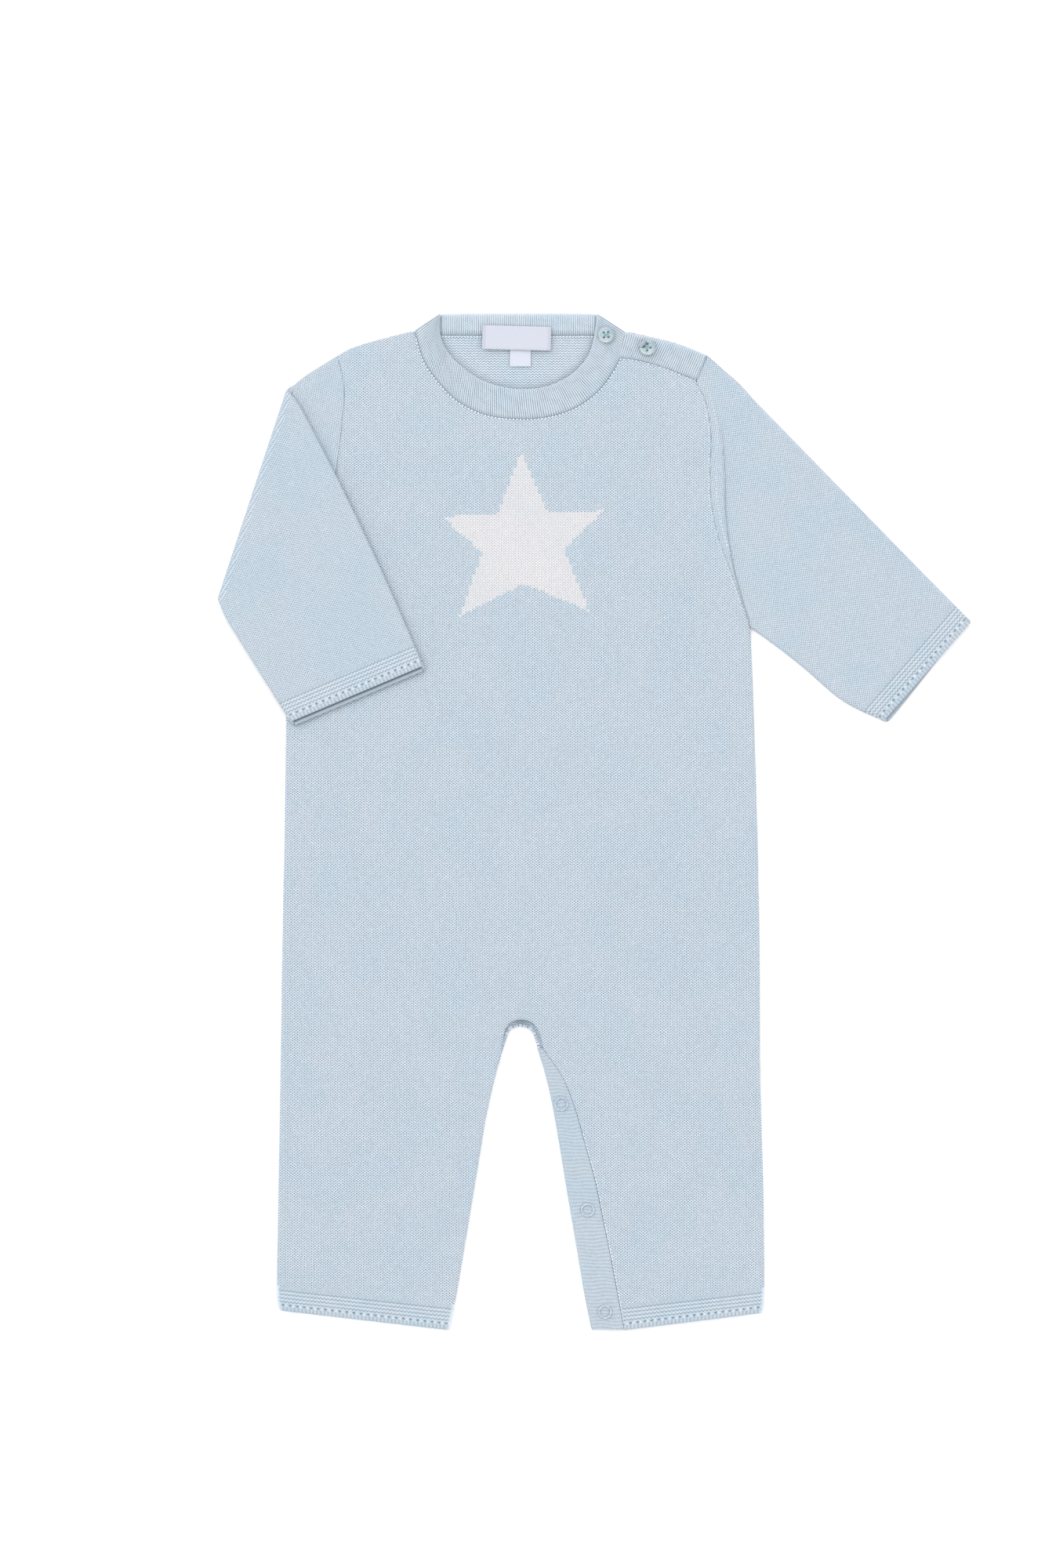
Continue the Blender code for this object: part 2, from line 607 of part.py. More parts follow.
def cutters_for_holes(name, place, collection):
    """Four pegs that cut a button's sewing holes."""
    pegs = []
    for x_side in (-1, 1):
        for y_side in (-1, 1):
            bpy.ops.mesh.primitive_cylinder_add(
                vertices=8, radius=BUTTON_HOLE_RADIUS * MM, depth=3 * BUTTON_THICK * MM)
            peg = bpy.context.object
            peg.name = f"{name}_hole_{len(pegs) + 1}"
            peg.location = place + Vector((x_side, y_side, 0)) * BUTTON_HOLE_SPACING * MM
            peg.hide_render = True
            peg.display_type = "WIRE"
            for owner in peg.users_collection:
                owner.objects.unlink(peg)
            collection.objects.link(peg)
            pegs.append(peg)
    return pegs


def button(name, x, y, height, collection, cutters):
    """A dished shell button, a turned profile with four sewing holes."""
    dish = BUTTON_THICK - BUTTON_DISH_DEPTH
    profile = (
        (0.0, dish), (BUTTON_DISH_RADIUS - BUTTON_EDGE, dish), (BUTTON_DISH_RADIUS, BUTTON_THICK),
        (BUTTON_RADIUS - BUTTON_EDGE, BUTTON_THICK), (BUTTON_RADIUS, BUTTON_THICK - BUTTON_EDGE),
        (BUTTON_RADIUS, BUTTON_EDGE), (BUTTON_RADIUS - BUTTON_EDGE, 0.0), (0.0, 0.0))
    mesh = bpy.data.meshes.new(name)
    points = [(radius * MM, 0.0, rise * MM) for radius, rise in profile]
    mesh.from_pydata(points, [(index, index + 1) for index in range(len(points) - 1)], [])
    piece = add_piece(name, mesh, collection, "shell")
    piece.location = Vector((x + CENTRE[0], y + CENTRE[1], height)) * MM
    turn = piece.modifiers.new("turned", "SCREW")
    turn.steps = turn.render_steps = BUTTON_SIDES
    turn.use_merge_vertices = True
    turn.merge_threshold = 0.00001
    for peg in cutters_for_holes(name, piece.location.copy(), cutters):
        hole = piece.modifiers.new("hole", "BOOLEAN")
        hole.operation = "DIFFERENCE"
        hole.object = peg
    return piece


def snap(name, x, y, collection):
    """The ring of a press snap, seated on the leg placket."""
    bpy.ops.mesh.primitive_torus_add(
        major_radius=SNAP_RADIUS * MM, minor_radius=SNAP_RING_RADIUS * MM,
        major_segments=SNAP_SIDES, minor_segments=6)
    shape = bpy.context.object
    mesh = shape.data
    bpy.data.objects.remove(shape)
    ring = add_piece(name, mesh, collection, "snap")
    ring.location = Vector((x, y, SNAP_SEATED_AT + SNAP_RING_RADIUS)) * MM
    ring.location += Vector((*CENTRE, 0.0)) * MM
    return ring


def label(name, x, y, width, length, turn, lies_at, collection):
    """A blank label, a flat piece of ribbon."""
    bpy.ops.mesh.primitive_cube_add(size=1.0)
    shape = bpy.context.object
    mesh = shape.data
    bpy.data.objects.remove(shape)
    for vertex in mesh.vertices:
        vertex.co = Vector((vertex.co.x * width, vertex.co.y * length, vertex.co.z * RIBBON)) * MM
    piece = add_piece(name, mesh, collection, "ribbon")
    piece.location = Vector((x + CENTRE[0], y + CENTRE[1], lies_at + RIBBON / 2)) * MM
    piece.rotation_euler.z = math.radians(turn)
    return piece


def clear_scene():
    """Remove every object that is already there."""
    for item in list(bpy.data.objects):
        bpy.data.objects.remove(item, do_unlink=True)


def main():
    """Build the romper, piece by piece."""
    clear_scene()
    romper = bpy.data.collections.new("baby_romper")
    cutters = bpy.data.collections.new("cutters")
    bpy.context.scene.collection.children.link(romper)
    bpy.context.scene.collection.children.link(cutters)
    back_panel(romper)
    front_panel(romper)
    sleeve_straight(romper)
    sleeve_folded(romper)
    neckband(romper)
    plackets(romper)
    for row in LABELS:
        label(*row, romper)
    for row in BUTTONS:
        button(*row, romper, cutters)
    for index, (x, y) in enumerate(SNAPS, start=1):
        snap(f"snap_{index}", x, y, romper)


main()
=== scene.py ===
"""The finished look of a baby's fine-knit romper that lies flat on a white surface.

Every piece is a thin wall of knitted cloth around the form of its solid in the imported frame. Plan
sizes are in millimetres: x from the garment's centre line, y from the middle of its length, and z
from the surface that it lies on. CENTRE takes them to the frame, and MM makes them metres.
"""

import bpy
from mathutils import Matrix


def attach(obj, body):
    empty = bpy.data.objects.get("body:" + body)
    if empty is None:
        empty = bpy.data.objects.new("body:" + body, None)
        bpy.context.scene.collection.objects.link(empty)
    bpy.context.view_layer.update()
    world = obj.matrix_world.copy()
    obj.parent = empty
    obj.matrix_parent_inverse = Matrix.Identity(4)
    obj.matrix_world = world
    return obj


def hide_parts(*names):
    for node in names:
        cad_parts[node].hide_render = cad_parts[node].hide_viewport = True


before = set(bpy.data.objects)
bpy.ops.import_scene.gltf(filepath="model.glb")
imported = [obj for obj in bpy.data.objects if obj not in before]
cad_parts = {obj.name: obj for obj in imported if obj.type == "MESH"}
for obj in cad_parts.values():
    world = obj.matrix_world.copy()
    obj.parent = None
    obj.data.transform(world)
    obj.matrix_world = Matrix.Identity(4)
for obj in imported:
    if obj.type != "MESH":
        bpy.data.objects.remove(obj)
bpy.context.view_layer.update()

import logging
import math
from dataclasses import dataclass
from enum import Enum
from typing import Callable

import bmesh
import bpy
import numpy as np
from mathutils import Vector

Array = np.ndarray
Colour = tuple[float, float, float]
Line = tuple[tuple[float, ...], ...]
Piece = bpy.types.Object
Material = bpy.types.Material
Tree = bpy.types.NodeTree
Socket = bpy.types.NodeSocket

LOG = logging.getLogger("romper")
MM = 0.001

# The cloth and how it lies, as in the solids.
CENTRE = np.array((-39.6, 0.3))
CLOTH = 1.5
SEAM = 0.3
FRONT_LIES_AT = CLOTH + SEAM
LAYERS = 2 * CLOTH + SEAM
ROLL = LAYERS / 2 - 0.05        # radius of a folded edge, with a hair's gap between front and back
CHEST_Y = 104.0                 # below it the body's rows run straight across
CROTCH_Y = -110.0
FRONT_CROTCH_Y = -106.4

# The stitches.
WALE = 1.85
COURSE = 1.40
SEED = 2.0                      # period of the seed stitch in the bands
EYELET = 3.8                    # pitch of the eyelets
BAND_DEPTH = 14.0
BAND_EDGE = 3.6                 # the smooth strip under the row of eyelets
NECK_RIB = 1.15
LEG_RIB = 1.95
RIB_HEIGHT = 0.35
EVEN_GAP_SHADE = 0.61                 # how dark the painted shade in the gaps of evened cloth is drawn to

# The meshes.
PATCH_DEPTH = 140.0             # about how far the rows above the chest reach up
SEAM_GAP = 0.08                 # how far apart the finished edges stay at a seam
CLOTH_COLUMNS = 60
BAND_COLUMNS = 200
BAND_ROWS = np.concatenate((np.arange(14.0, 0.3, -0.36), (0.3, 0.12, 0.0)))
# Painted shade on the cuff bands' inner face, by depth from the edge: darkest deep in the opening.
CUFF_INSIDE_SHADE = np.interp(BAND_ROWS, (0.0, 0.5, 1.4, 2.0), (0.80, 0.45, 0.60, 1.0))[:, None]

# Distances from a folded or sewn edge at which a panel has a row of points.
FOLD_STEPS = np.array((0.0, 0.06, 0.22, 0.5, 0.9, 1.6, 2.6, 4.0))
SEAM_STEPS = np.array((0.0, 0.4, 0.9, 1.6, 2.6, 4.0))
SIDE_STEPS = np.array((0.0, 0.06, 0.22, 0.5, 0.9, 1.6, 2.6, 3.8, 4.5, 5.0, 5.5, 6.2, 8.0))

# Shoulders from the tip inwards, armholes from shoulder to underarm: x, y.
SHOULDER_LEFT = (
    (-98.3, 249.3), (-92.8, 252.6), (-86.1, 255.2), (-77.3, 257.7), (-68.0, 260.2), (-57.2, 262.8))
SHOULDER_RIGHT = (
    (100.0, 249.7), (93.2, 252.6), (86.5, 255.2), (78.1, 257.7), (67.6, 260.2), (57.2, 262.5))
ARMHOLE_RIGHT = (
    (100.0, 249.7), (94.2, 236.4), (99.0, 225.5), (102.0, 208.0), (101.6, 190.0),
    (102.2, 171.5), (106.0, 152.0), (111.5, 137.0), (117.5, 120.0), (123.1, 104.0))
ARMHOLE_LEFT = (
    (-98.3, 249.3), (-95.6, 239.0), (-94.5, 228.0), (-95.9, 212.0), (-97.8, 196.0),
    (-100.2, 179.0), (-104.5, 160.0), (-110.5, 143.0), (-118.0, 127.0), (-125.6, 112.0))

# Body sides down to the hem's corners: x, y.
SIDE_LEFT = (
    (-125.6, 112.0), (-125.6, 104.0), (-125.6, 66.2), (-126.4, -1.0), (-127.7, -68.3),
    (-128.7, -135.5), (-129.8, -202.7), (-130.6, -253.0), (-128.9, -262.3))
SIDE_RIGHT = (
    (123.1, 104.0), (124.7, 66.2), (126.8, -1.0), (128.1, -68.3), (128.5, -135.5),
    (130.2, -202.7), (130.6, -253.0), (129.4, -263.6))
HEM_CORNER_Y = {"left": -262.3, "right": -263.6}
HEM_INNER_Y = -272.8

# The gap between the legs: half width, depth below the crotch.
LEG_GAP = (
    (0.0, 0.0), (4.0, 1.0), (6.4, 3.2), (8.3, 8.6), (10.9, 17.0), (13.2, 25.4), (15.3, 33.9),
    (18.9, 50.7), (21.6, 67.5), (25.8, 92.7), (30.0, 118.0), (34.2, 143.0), (38.2, 162.8))
FRONT_CROTCH_LEFT = ((0.0, -106.4), (-4.2, -107.4), (-7.8, -111.0), (-9.6, -118.6), (-10.9, -127.0))
FRONT_CROTCH_RIGHT = ((0.0, -106.4), (4.2, -107.2), (7.8, -110.0), (10.6, -115.5), (12.1, -121.0))

# The neckband's front stretch: x and y on its seam, x and y on its free edge.
NECKBAND_FRONT = (
    (-56.4, 262.9, -42.8, 272.0), (-51.6, 247.0, -43.4, 263.0), (-42.3, 233.7, -39.6, 252.5),
    (-32.3, 224.5, -29.6, 242.0), (-18.3, 218.0, -18.0, 235.3), (-2.7, 215.9, -4.0, 231.9),
    (12.8, 216.6, 9.7, 232.2), (28.4, 221.3, 20.6, 235.6), (40.8, 230.0, 29.8, 241.8),
    (48.6, 240.0, 36.4, 250.0), (53.2, 249.0, 39.4, 260.2), (56.2, 261.9, 40.9, 271.9))
# Its back stretch: x and y on the seam, x and y on the free edge, height.
NECKBAND_BACK = (
    (-54.5, 262.2, -54.5, 264.0, 1.5), (-46.0, 261.2, -46.0, 269.6, 1.5),
    (-42.4, 260.9, -42.4, 271.4, 1.5), (-38.0, 260.6, -38.0, 272.0, 2.3),
    (0.0, 260.6, 0.0, 272.2, 2.3), (36.0, 260.6, 36.0, 272.0, 2.3),
    (40.4, 260.8, 40.4, 271.4, 1.5), (46.0, 261.0, 46.0, 268.6, 1.5),
    (54.5, 261.2, 54.5, 262.8, 1.5))
SHOULDER_PLACKET = (
    (52.3, 248.4, 55.5, 262.2), (61.7, 247.4, 67.0, 260.0), (70.0, 245.3, 76.0, 257.9),
    (79.0, 242.3, 84.6, 255.4), (87.0, 239.2, 92.4, 252.7), (94.0, 236.5, 99.8, 249.8))
LEG_PLACKET = (
    (11.8, -121.6, 9.0, -121.6), (22.3, -136.7, 13.6, -136.7), (29.4, -154.4, 17.5, -154.4),
    (34.0, -170.7, 20.4, -170.7), (39.9, -192.2, 23.9, -192.2), (43.7, -210.6, 27.0, -210.6),
    (48.3, -233.3, 30.9, -233.3), (51.6, -251.0, 34.0, -251.0), (55.6, -272.4, 38.4, -272.4))

# Across a ribbed strip: share of its width from the seam, height, share of the ribs' height there.
NECKBAND_SECTION = (
    (0.0, 0.05, 0.0), (-0.01, 1.25, 0.2), (0.03, 1.85, 0.8), (0.12, 2.4, 1.0), (0.36, 2.72, 1.0),
    (0.70, 2.68, 1.0), (0.88, 2.45, 1.0), (0.97, 1.9, 0.8), (1.0, 1.1, 0.3), (0.99, 0.1, 0.0))
BACK_BAND_SECTION = (
    (0.0, 0.02, 0.0), (0.0, 0.6, 0.1), (0.06, 0.9, 0.7), (0.25, 1.0, 0.9), (0.60, 1.0, 0.9),
    (0.85, 0.97, 0.8), (0.97, 0.75, 0.4), (1.0, 0.4, 0.0), (0.99, 0.04, 0.0))
PLACKET_SECTION = (
    (0.0, 0.05, 0.0), (0.0, 1.3, 0.2), (0.05, 1.72, 0.8), (0.20, 1.9, 1.0), (0.50, 1.95, 1.0),
    (0.80, 1.9, 1.0), (0.94, 1.6, 0.8), (1.0, 0.9, 0.3), (0.99, 0.08, 0.0))
LEG_PLACKET_SECTION = (
    (0.0, 0.05, 0.0), (0.0, 1.3, 0.2), (0.05, 1.55, 0.6), (0.20, 1.72, 1.0), (0.50, 1.9, 1.0),
    (0.80, 1.85, 1.0), (0.94, 1.6, 0.8), (1.0, 0.9, 0.3), (0.99, 0.08, 0.0))

# The straight sleeve: its upper and under edges outwards from the armhole.
SLEEVE_TOP_EDGE = (
    (100.0, 249.7), (107.9, 242.8), (117.6, 234.2), (125.2, 225.8), (141.5, 209.0),
    (174.3, 175.4), (207.1, 141.8), (241.5, 106.9))
SLEEVE_UNDER_EDGE = ((123.1, 104.0), (151.2, 83.0), (172.6, 65.2), (195.3, 54.4))
# The shadowed valley beside it, and the cloth's height by distance out of the valley.
VALLEY = (
    (99.2, 244.0), (100.5, 236.0), (103.5, 225.0), (107.6, 208.0), (109.3, 186.0), (110.0, 162.0),
    (113.6, 138.0), (118.0, 121.0), (123.0, 106.0))
VALLEY_LIFT = (
    (-16.0, 0.0), (-9.0, 0.3), (-6.0, 0.75), (-3.5, 1.3), (-1.9, 1.75), (-1.0, 1.7), (-0.3, 1.2),
    (0.2, 0.3), (0.9, -0.12), (3.0, -0.15), (8.0, 0.05), (20.0, 0.25), (60.0, 0.4), (150.0, 0.2))

# The turned-back sleeve's cuff: its corners, where they lie on the chest.
CUFF_TOP = (-51.9, 83.2)
CUFF_UNDER = (-123.0, 53.2)

# Buttons: name, x, y, height it is sewn on at, turn of its thread in degrees.
BUTTONS = (
    ("button_neck", 45.8, 260.3, 4.95, 4.0), ("button_shoulder", 67.9, 253.7, 4.45, 38.0))
SNAPS = ((21.8, -151.4), (35.9, -208.1), (45.2, -262.7))


# Lines and surfaces in the plan.

def smooth_curve(points: Line | Array, count: int) -> Array:
    """Even points on the smooth curve through the given ones.

    Each stretch is the cubic through its two ends whose slope there is half the step between the
    neighbours on either side.

    Args:
        points: the knots, in any number of columns, the first two being the plan.
        count: how many points to give back, evenly spaced in the plan.
    Returns:
        The points, one a row.
    """
    knots = np.array(points, dtype=float)
    padded = np.vstack((2 * knots[0] - knots[1], knots, 2 * knots[-1] - knots[-2]))
    before, start, end, after = padded[:-3], padded[1:-2], padded[2:-1], padded[3:]
    t = np.linspace(0.0, 1.0, 16, endpoint=False)[None, :, None]
    before, start, end, after = (part[:, None, :] for part in (before, start, end, after))
    fine = 0.5 * (2 * start + (end - before) * t + (2 * before - 5 * start + 4 * end - after) * t ** 2
                  + (3 * start - 3 * end + after - before) * t ** 3)
    fine = np.vstack((fine.reshape(-1, knots.shape[1]), knots[-1:]))
    return at_shares(fine, np.linspace(0.0, 1.0, count))


def at_shares(line: Array, shares: Array) -> Array:
    """Points at shares of a line's length in the plan.

    Args:
        line: its points, one a row.
        shares: shares of its length, in an array of any shape.
    Returns:
        The points, along a new last axis.
    """
    steps = np.linalg.norm(np.diff(line[:, :2], axis=0), axis=1)
    along = np.concatenate(([0.0], np.cumsum(steps)))
    wanted = np.asarray(shares) * along[-1]
    return np.stack([np.interp(wanted, along, column) for column in line.T], axis=-1)


def length_of(line: Array) -> float:
    """A line's length in the plan."""
    return float(np.linalg.norm(np.diff(line[:, :2], axis=0), axis=1).sum())


def x_at(line: Array, y: Array) -> Array:
    """A line's x at each y, for a line that runs downwards all the way."""
    falling = np.minimum.accumulate(line[:, 1])
    return np.interp(-np.asarray(y), -falling, line[:, 0])


def beside(line: Array, distance: float) -> Array:
    """The line moved to its left by a distance, each point along its own normal.

    Args:
        line: its points.
        distance: how far it moves, to the right where negative.
    Returns:
        The moved points.
    """
    heading = np.gradient(line, axis=0)
    heading /= np.linalg.norm(heading, axis=1, keepdims=True)
    return line + distance * np.column_stack((-heading[:, 1], heading[:, 0]))


def distance_to(points: Array, line: Array) -> Array:
    """Distance in the plan from each point to a line.

    Args:
        points: points in an array of any shape, x and y first.
        line: the line's points.
    Returns:
        The distances, in the shape of the array.
    """
    flat = points.reshape(-1, points.shape[-1])[:, :2]
    start, along = line[:-1, :2], np.diff(line[:, :2], axis=0)
    best = np.full(len(flat), np.inf)
    for origin, step in zip(start, along):
        offset = flat - origin
        share = np.clip(offset @ step / (step @ step + 1e-12), 0.0, 1.0)
        gap = offset - share[:, None] * step
        best = np.minimum(best, gap[:, 0] ** 2 + gap[:, 1] ** 2)
    return np.sqrt(best).reshape(points.shape[:-1])


def inside(points: Array, outline: Array) -> Array:
    """Which points lie inside a closed outline, by counting the edges that a level line crosses.

    Args:
        points: points in an array of any shape.
        outline: the outline's corners in order.
    Returns:
        True for each point inside.
    """
    flat = points.reshape(-1, points.shape[-1])
    crossings = np.zeros(len(flat), int)
    for start, end in zip(outline, np.roll(outline, -1, axis=0)):
        if start[1] == end[1]:
            continue
        spans = (start[1] > flat[:, 1]) != (end[1] > flat[:, 1])
        cut = start[0] + (flat[:, 1] - start[1]) * (end[0] - start[0]) / (end[1] - start[1])
        crossings += spans & (flat[:, 0] < cut)
    return (crossings % 2 == 1).reshape(points.shape[:-1])


def graded(length: Array | float, near: Array, far: Array, middle: int) -> Array:
    """Distances along a length, close together at its ends and even between them.

    Args:
        length: the whole length, or an array of lengths.
        near: distances from the start of the first points.
        far: distances from the end of the last points.
        middle: how many equal steps the rest is divided into.
    Returns:
        The distances, along a new last axis.
    """
    length = np.asarray(length, dtype=float)[..., None]
    even = np.linspace(0.0, 1.0, middle + 1)[1:-1]
    first = near + 0.0 * length
    between = near[-1] + (length - near[-1] - far[-1]) * even
    return np.concatenate((first, between, length - far[::-1]), axis=-1)


def bell(distance: Array, width: float) -> Array:
    """A smooth bump: 1 at no distance, falling to a third at the width."""
    return np.exp(-(distance / width) ** 2)


def eased(value: Array, low: float, high: float) -> Array:
    """0 below low, 1 above high and a smooth rise between."""
    share = np.clip((value - low) / (high - low), 0.0, 1.0)
    return share * share * (3.0 - 2.0 * share)


def roll_drop(distance: Array) -> Array:
    """How far a quarter-round folded edge falls below the panel, by distance from the edge."""
    short = np.clip(ROLL - distance, 0.0, ROLL)
    return ROLL - np.sqrt(ROLL ** 2 - short ** 2)


def normals_of(points: Array, wrap: bool, up_column: int) -> Array:
    """Unit normals of a grid of points, pointing up at one of its columns.

    Args:
        points: rows by columns by x, y, z.
        wrap: whether the last column joins the first.
        up_column: the column at which they point up.
    Returns:
        One normal for each point.
    """
    if wrap:
        across = (np.roll(points, -1, axis=1) - np.roll(points, 1, axis=1)) / 2
    else:
        across = np.gradient(points, axis=1)
    normals = np.cross(across, np.gradient(points, axis=0))
    normals /= np.maximum(np.linalg.norm(normals, axis=2, keepdims=True), 1e-9)
    return normals * np.sign(normals[:, up_column, 2].mean())


# Meshes.

class Shell:
    """Grids of points gathered into one closed mesh, with a UV map and an attribute of painted shade.

    The UV map is in stitches or in ribs. The painted shade is 0 on a stitch's crest and 1 in the
    deepest gap beside it, for the pieces whose stitches are in the mesh; on other pieces it darkens
    seams, folds, holes and cloth that lies under an overhang.
    """

    def __init__(self) -> None:
        """Start with nothing."""
        self.points: list[Array] = []
        self.hollow_shade: list[Array] = []
        self.quads: list[Array] = []
        self.quad_uvs: list[Array] = []
        self.caps: list[list[int]] = []
        self.count = 0

    def grid(self, points: Array, uv: Array, hollow_shade: Array | float = 0.0, wrap: bool = False) -> Array:
        """Add a grid of points with a face between each four.

        Args:
            points: rows by columns by x, y, z in plan millimetres.
            uv: the same grid in stitches, one column longer where it wraps.
            hollow_shade: the same grid's hollow values, or one for all.
            wrap: whether the last column joins the first.
        Returns:
            The points' numbers, in the same grid.
        """
        rows, columns = points.shape[:2]
        numbers = self.count + np.arange(rows * columns).reshape(rows, columns)
        self.count += rows * columns
        self.points.append(points.reshape(-1, 3))
        self.hollow_shade.append(np.broadcast_to(hollow_shade, (rows, columns)).reshape(-1))
        loop = np.hstack((numbers, numbers[:, :1])) if wrap else numbers
        self.quads.append(self._corners(loop).reshape(-1, 4))
        self.quad_uvs.append(self._corners(uv).reshape(-1, 4, 2))
        return numbers

    @staticmethod
    def _corners(grid: Array) -> Array:
        """The four corner values of each cell of a grid."""
        return np.stack((grid[:-1, :-1], grid[:-1, 1:], grid[1:, 1:], grid[1:, :-1]), axis=2)

    def rim(self, first: Array, second: Array, uv: Array) -> None:
        """Add a strip of faces between two lines of points, with the first line's UV on both."""
        self.quads.append(np.stack((first[:-1], first[1:], second[1:], second[:-1]), axis=1))
        self.quad_uvs.append(np.stack((uv[:-1], uv[1:], uv[1:], uv[:-1]), axis=1))

    def copies(self, points: Array, uv: Array, hollow_shade: Array) -> None:
        """Add many small grids at once, each wrapped round its columns.

        Args:
            points: copies by rows by columns by x, y, z.
            uv: one grid's stitches, one column longer.
            hollow_shade: one grid's hollow values.
        """
        many, rows, columns = points.shape[:3]
        numbers = np.arange(rows * columns).reshape(rows, columns)
        quads = self._corners(np.hstack((numbers, numbers[:, :1]))).reshape(-1, 4)
        offsets = self.count + rows * columns * np.arange(many)
        self.count += many * rows * columns
        self.points.append(points.reshape(-1, 3))
        self.hollow_shade.append(np.tile(hollow_shade.reshape(-1), many))
        self.quads.append((offsets[:, None, None] + quads).reshape(-1, 4))
        corner_uvs = self._corners(uv).reshape(-1, 4, 2)
        shift = np.arange(many)[:, None, None, None] * np.array((1.0, 0.0))
        self.quad_uvs.append((corner_uvs + shift).reshape(-1, 4, 2))

    def capped(self, points: Array, uv: Array, hollow_shade: Array | float) -> None:
        """Add a grid that is wrapped round, and close its first and last rings with one face each."""
        numbers = self.grid(points, uv, hollow_shade, wrap=True)
        self.caps += [numbers[0].tolist(), numbers[-1].tolist()]

    def build(self, name: str, weld: float = 1e-6) -> Piece:
        """Make the object, with its faces outwards and its place in its mesh.

        Args:
            name: the object's name.
            weld: points nearer than this become one, in metres.
        Returns:
            The object, in the scene.
        """
        plan = np.vstack(self.points)
        world = (plan + (*CENTRE, 0.0)) * MM
        quads = np.vstack(self.quads)
        mesh = bpy.data.meshes.new(name)
        mesh.from_pydata(world.tolist(), [], quads.tolist() + self.caps)
        corners = np.vstack([part.reshape(-1, 2) for part in self.quad_uvs])
        rest = np.zeros((len(mesh.loops) - len(corners), 2))
        layer = mesh.uv_layers.new(name="stitches")
        layer.uv.foreach_set("vector", np.vstack((corners, rest)).astype(np.float32).ravel())
        # The attribute of painted shade, which the finishes mix in as darker colour.
        hollow_shade = mesh.attributes.new("hollow_shade", "FLOAT", "POINT")
        hollow_shade.data.foreach_set("value", np.concatenate(self.hollow_shade).astype(np.float32))
        shape = bmesh.new()
        shape.from_mesh(mesh)
        bmesh.ops.remove_doubles(shape, verts=shape.verts, dist=weld)
        bmesh.ops.recalc_face_normals(shape, faces=shape.faces)
        shape.to_mesh(mesh)
        shape.free()
        mesh.shade_smooth()
        mesh.set_sharp_from_angle(angle=math.radians(48.0))
        piece = bpy.data.objects.new(name, mesh)
        bpy.context.scene.collection.objects.link(piece)
        return piece


def walled(name: str, outer: Array, inner: Array, uv: Array, hollow_shade: Array | float = 0.0,
           inner_face_shade: Array | float = 0.0, wrap: bool = False) -> Piece:
    """A closed wall of cloth between an outer and an inner grid of points.

    Args:
        name: the object's name.
        outer: rows by columns by x, y, z of its outer face.
        inner: the same for its inner face.
        uv: the grid in stitches.
        hollow_shade: the outer face's hollow values.
        inner_face_shade: the inner face's hollow values.
        wrap: whether the last column joins the first.
    Returns:
        The object.
    """
    shell = Shell()
    # Both faces carry painted shade: the outer face's values and the inner face's.
    near = shell.grid(outer, uv, hollow_shade, wrap)
    far = shell.grid(inner, uv, inner_face_shade, wrap)
    for row in (0, -1):
        first, second = near[row], far[row]
        if wrap:
            first, second = np.append(first, first[0]), np.append(second, second[0])
        shell.rim(first, second, uv[row])
    if not wrap:
        for column in (0, -1):
            shell.rim(near[:, column], far[:, column], uv[:, column])
    return shell.build(name)


def dress(piece: Piece, material: Material, slot: str, *nodes: str) -> None:
    """Give a piece its material and its body, and hide the solids that it stands for.

    Args:
        piece: the piece.
        material: its finish.
        slot: not used.
        nodes: the solids that it stands for, none for a part of another piece.
    """
    piece.data.materials.clear()
    piece.data.materials.append(material)
    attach(piece, "root")
    if nodes:
        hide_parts(*nodes)
    triangles = sum(len(face.vertices) - 2 for face in piece.data.polygons)
    LOG.info("%s: %d triangles", piece.name, triangles)


# Materials.

def linear(red: int, green: int, blue: int) -> Colour:
    """A screen colour, 0 to 255, as linear light."""
    return tuple(((value / 255 + 0.055) / 1.055) ** 2.4 for value in (red, green, blue))


